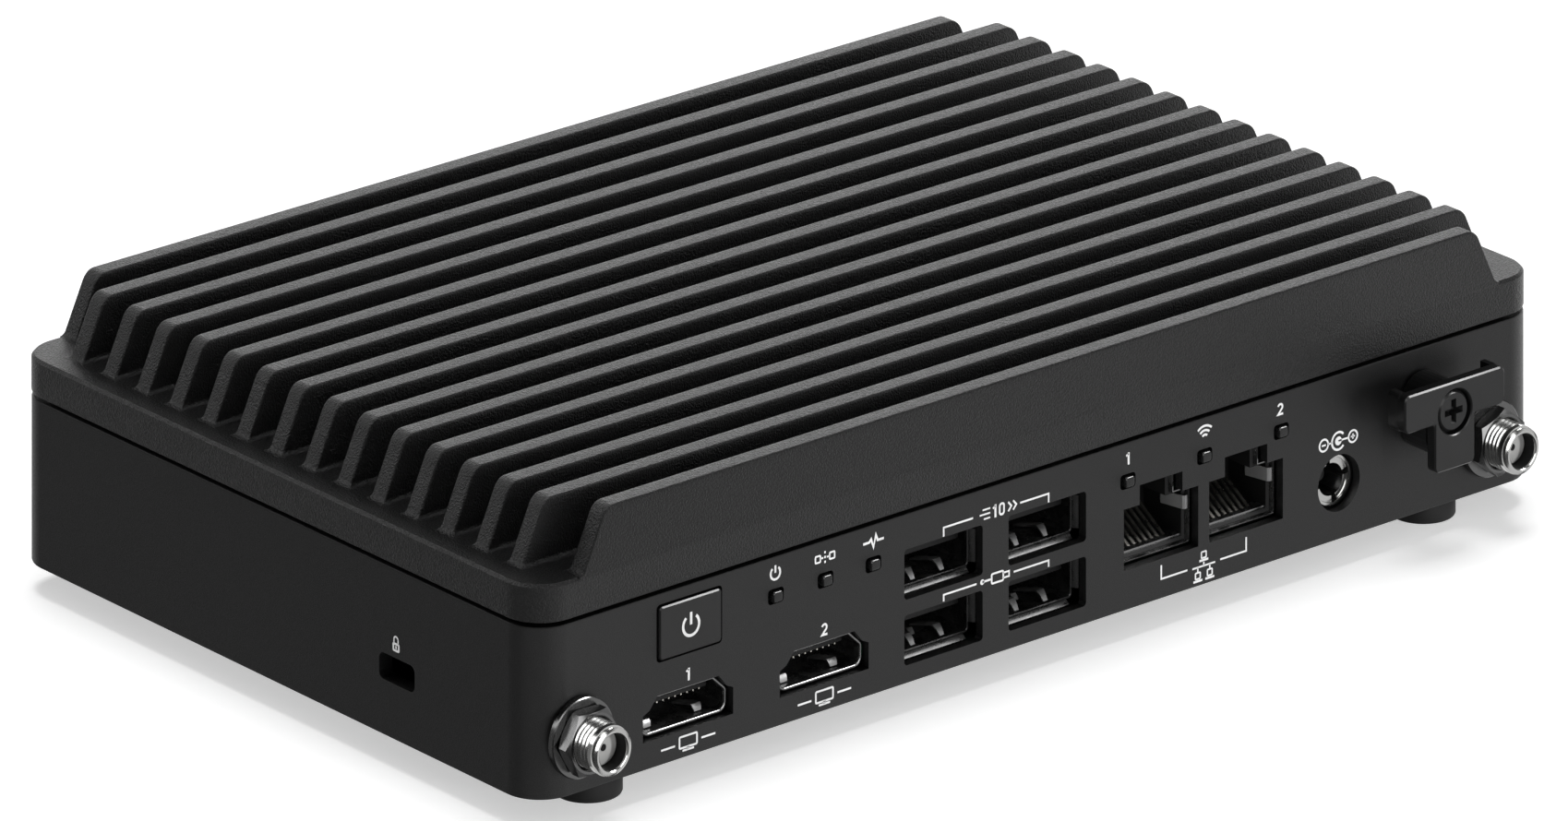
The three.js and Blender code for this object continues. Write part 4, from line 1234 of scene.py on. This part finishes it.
def add_camera():
    """Long lens from the front left. The picture's verticals stay parallel, as with a view camera."""
    camera = new_object("camera", bpy.data.cameras.new("camera"))
    stand = new_object("camera_stand", None)
    camera.data.lens = LENS
    camera.data.sensor_width = SENSOR
    camera.data.clip_start = 0.05
    camera.data.clip_end = 100
    ahead = Vector((math.sin(CAMERA_SIDE), math.cos(CAMERA_SIDE), -VIEW_SLOPE))
    back = -ahead.normalized()
    right = Vector((math.cos(CAMERA_SIDE), -math.sin(CAMERA_SIDE), 0))
    tilt = Matrix.Identity(4)
    for row in range(3):
        tilt[row][0] = right[row]
        tilt[row][1] = (0, 0, 1)[row]
        tilt[row][2] = back[row]
        tilt[row][3] = CAMERA_AT[row]
    camera.parent = stand
    camera.matrix_parent_inverse = tilt
    bpy.context.scene.camera = camera


def add_floor():
    builder = Builder(on_floor)
    builder.prism(rounded_rect(0, 0, FLOOR_HALF, FLOOR_HALF, 1, 1), -0.5, 0)
    material, shader = new_material("pale floor", (0.86, 0.86, 0.86), 0.9, specular=0.1)
    tint(material, noise(material, 300, 2), shader, (0.85, 0.85, 0.85), (0.87, 0.87, 0.87))
    data = builder.data()
    data.materials.append(material)
    floor = new_object("floor", data)
    shader.inputs["Emission Color"].default_value = (1, 1, 1, 1)
    shader.inputs["Emission Strength"].default_value = FLOOR_GLOW
    floor.visible_glossy = False
    floor.visible_shadow = False
    return floor


def add_sun(name, towards, strength, spread_degrees):
    """Parallel light that comes from the given direction, soft by its spread."""
    light = bpy.data.lights.new(name, "SUN")
    light.energy = strength
    light.angle = math.radians(spread_degrees)
    lamp = new_object(name, light)
    lamp.rotation_mode = "QUATERNION"
    lamp.rotation_quaternion = Vector(towards).to_track_quat("Z", "Y")
    return lamp


def only_on(lamp, pieces):
    """The lamp lights these pieces alone; everything else still throws its shadow on them."""
    lit = bpy.data.collections.new(f"{lamp.name} target")
    for piece in pieces:
        lit.objects.link(piece)
    lamp.light_linking.receiver_collection = lit


def add_surround():
    """Faint even light all round, while the backdrop itself is seen white."""
    world = bpy.data.worlds.new("soft surround")
    bpy.context.scene.world = world
    world.use_nodes = True
    seen = add_node(world, "ShaderNodeLightPath")
    level = add_node(world, "ShaderNodeMix", A=SURROUND_LEVEL, B=1.0)
    link(world, seen.outputs["Is Camera Ray"], level.inputs["Factor"])
    surround = world.node_tree.nodes["Background"].inputs
    surround["Color"].default_value = (1, 1, 1, 1)
    link(world, level.outputs["Result"], surround["Strength"])


def add_light(floor):
    """Two lights for the floor, one without gloss for everything, and the soft boxes."""
    bpy.context.scene.view_settings.view_transform = "Standard"
    add_surround()
    only_on(add_sun("shadow light", *SHADOW_LIGHT), [floor])
    only_on(add_sun("under light", *UNDER_LIGHT), [floor])
    add_sun("front fill", *FRONT_FILL).visible_glossy = False
    matt = [frame["nodes"]["lower_chassis"], bpy.data.objects["heat_sink_casting"]]
    meshes = [piece for piece in bpy.context.scene.objects if piece.type == "MESH"]
    details = [piece for piece in meshes if piece != floor and piece not in matt]
    edges = [piece for piece in details if not piece.name.startswith("usb_stack")]
    targets = {"matt": matt, "details": details, "edges": edges}
    for name, (towards, strength, spread, target) in SOFT_BOXES.items():
        lamp = add_sun(name, towards, strength, spread)
        lamp.visible_diffuse = False
        if target in targets:
            only_on(lamp, targets[target])


# ---- putting it together


def build():
    dress_cad()
    make_heat_sink()
    make_button()
    make_lamps()
    make_feet()
    for number in (1, 2):
        make_video_port(number)
        make_usb_stack(number)
        make_network_port(number)
    make_inlet()
    for side in ("left", "right"):
        make_antenna(side)
    make_clip()
    make_clip_screw()
    make_signs()
    for node in frame["nodes"]:
        if node not in REPLACED:
            soften(node)


build()
add_camera()
add_light(add_floor())
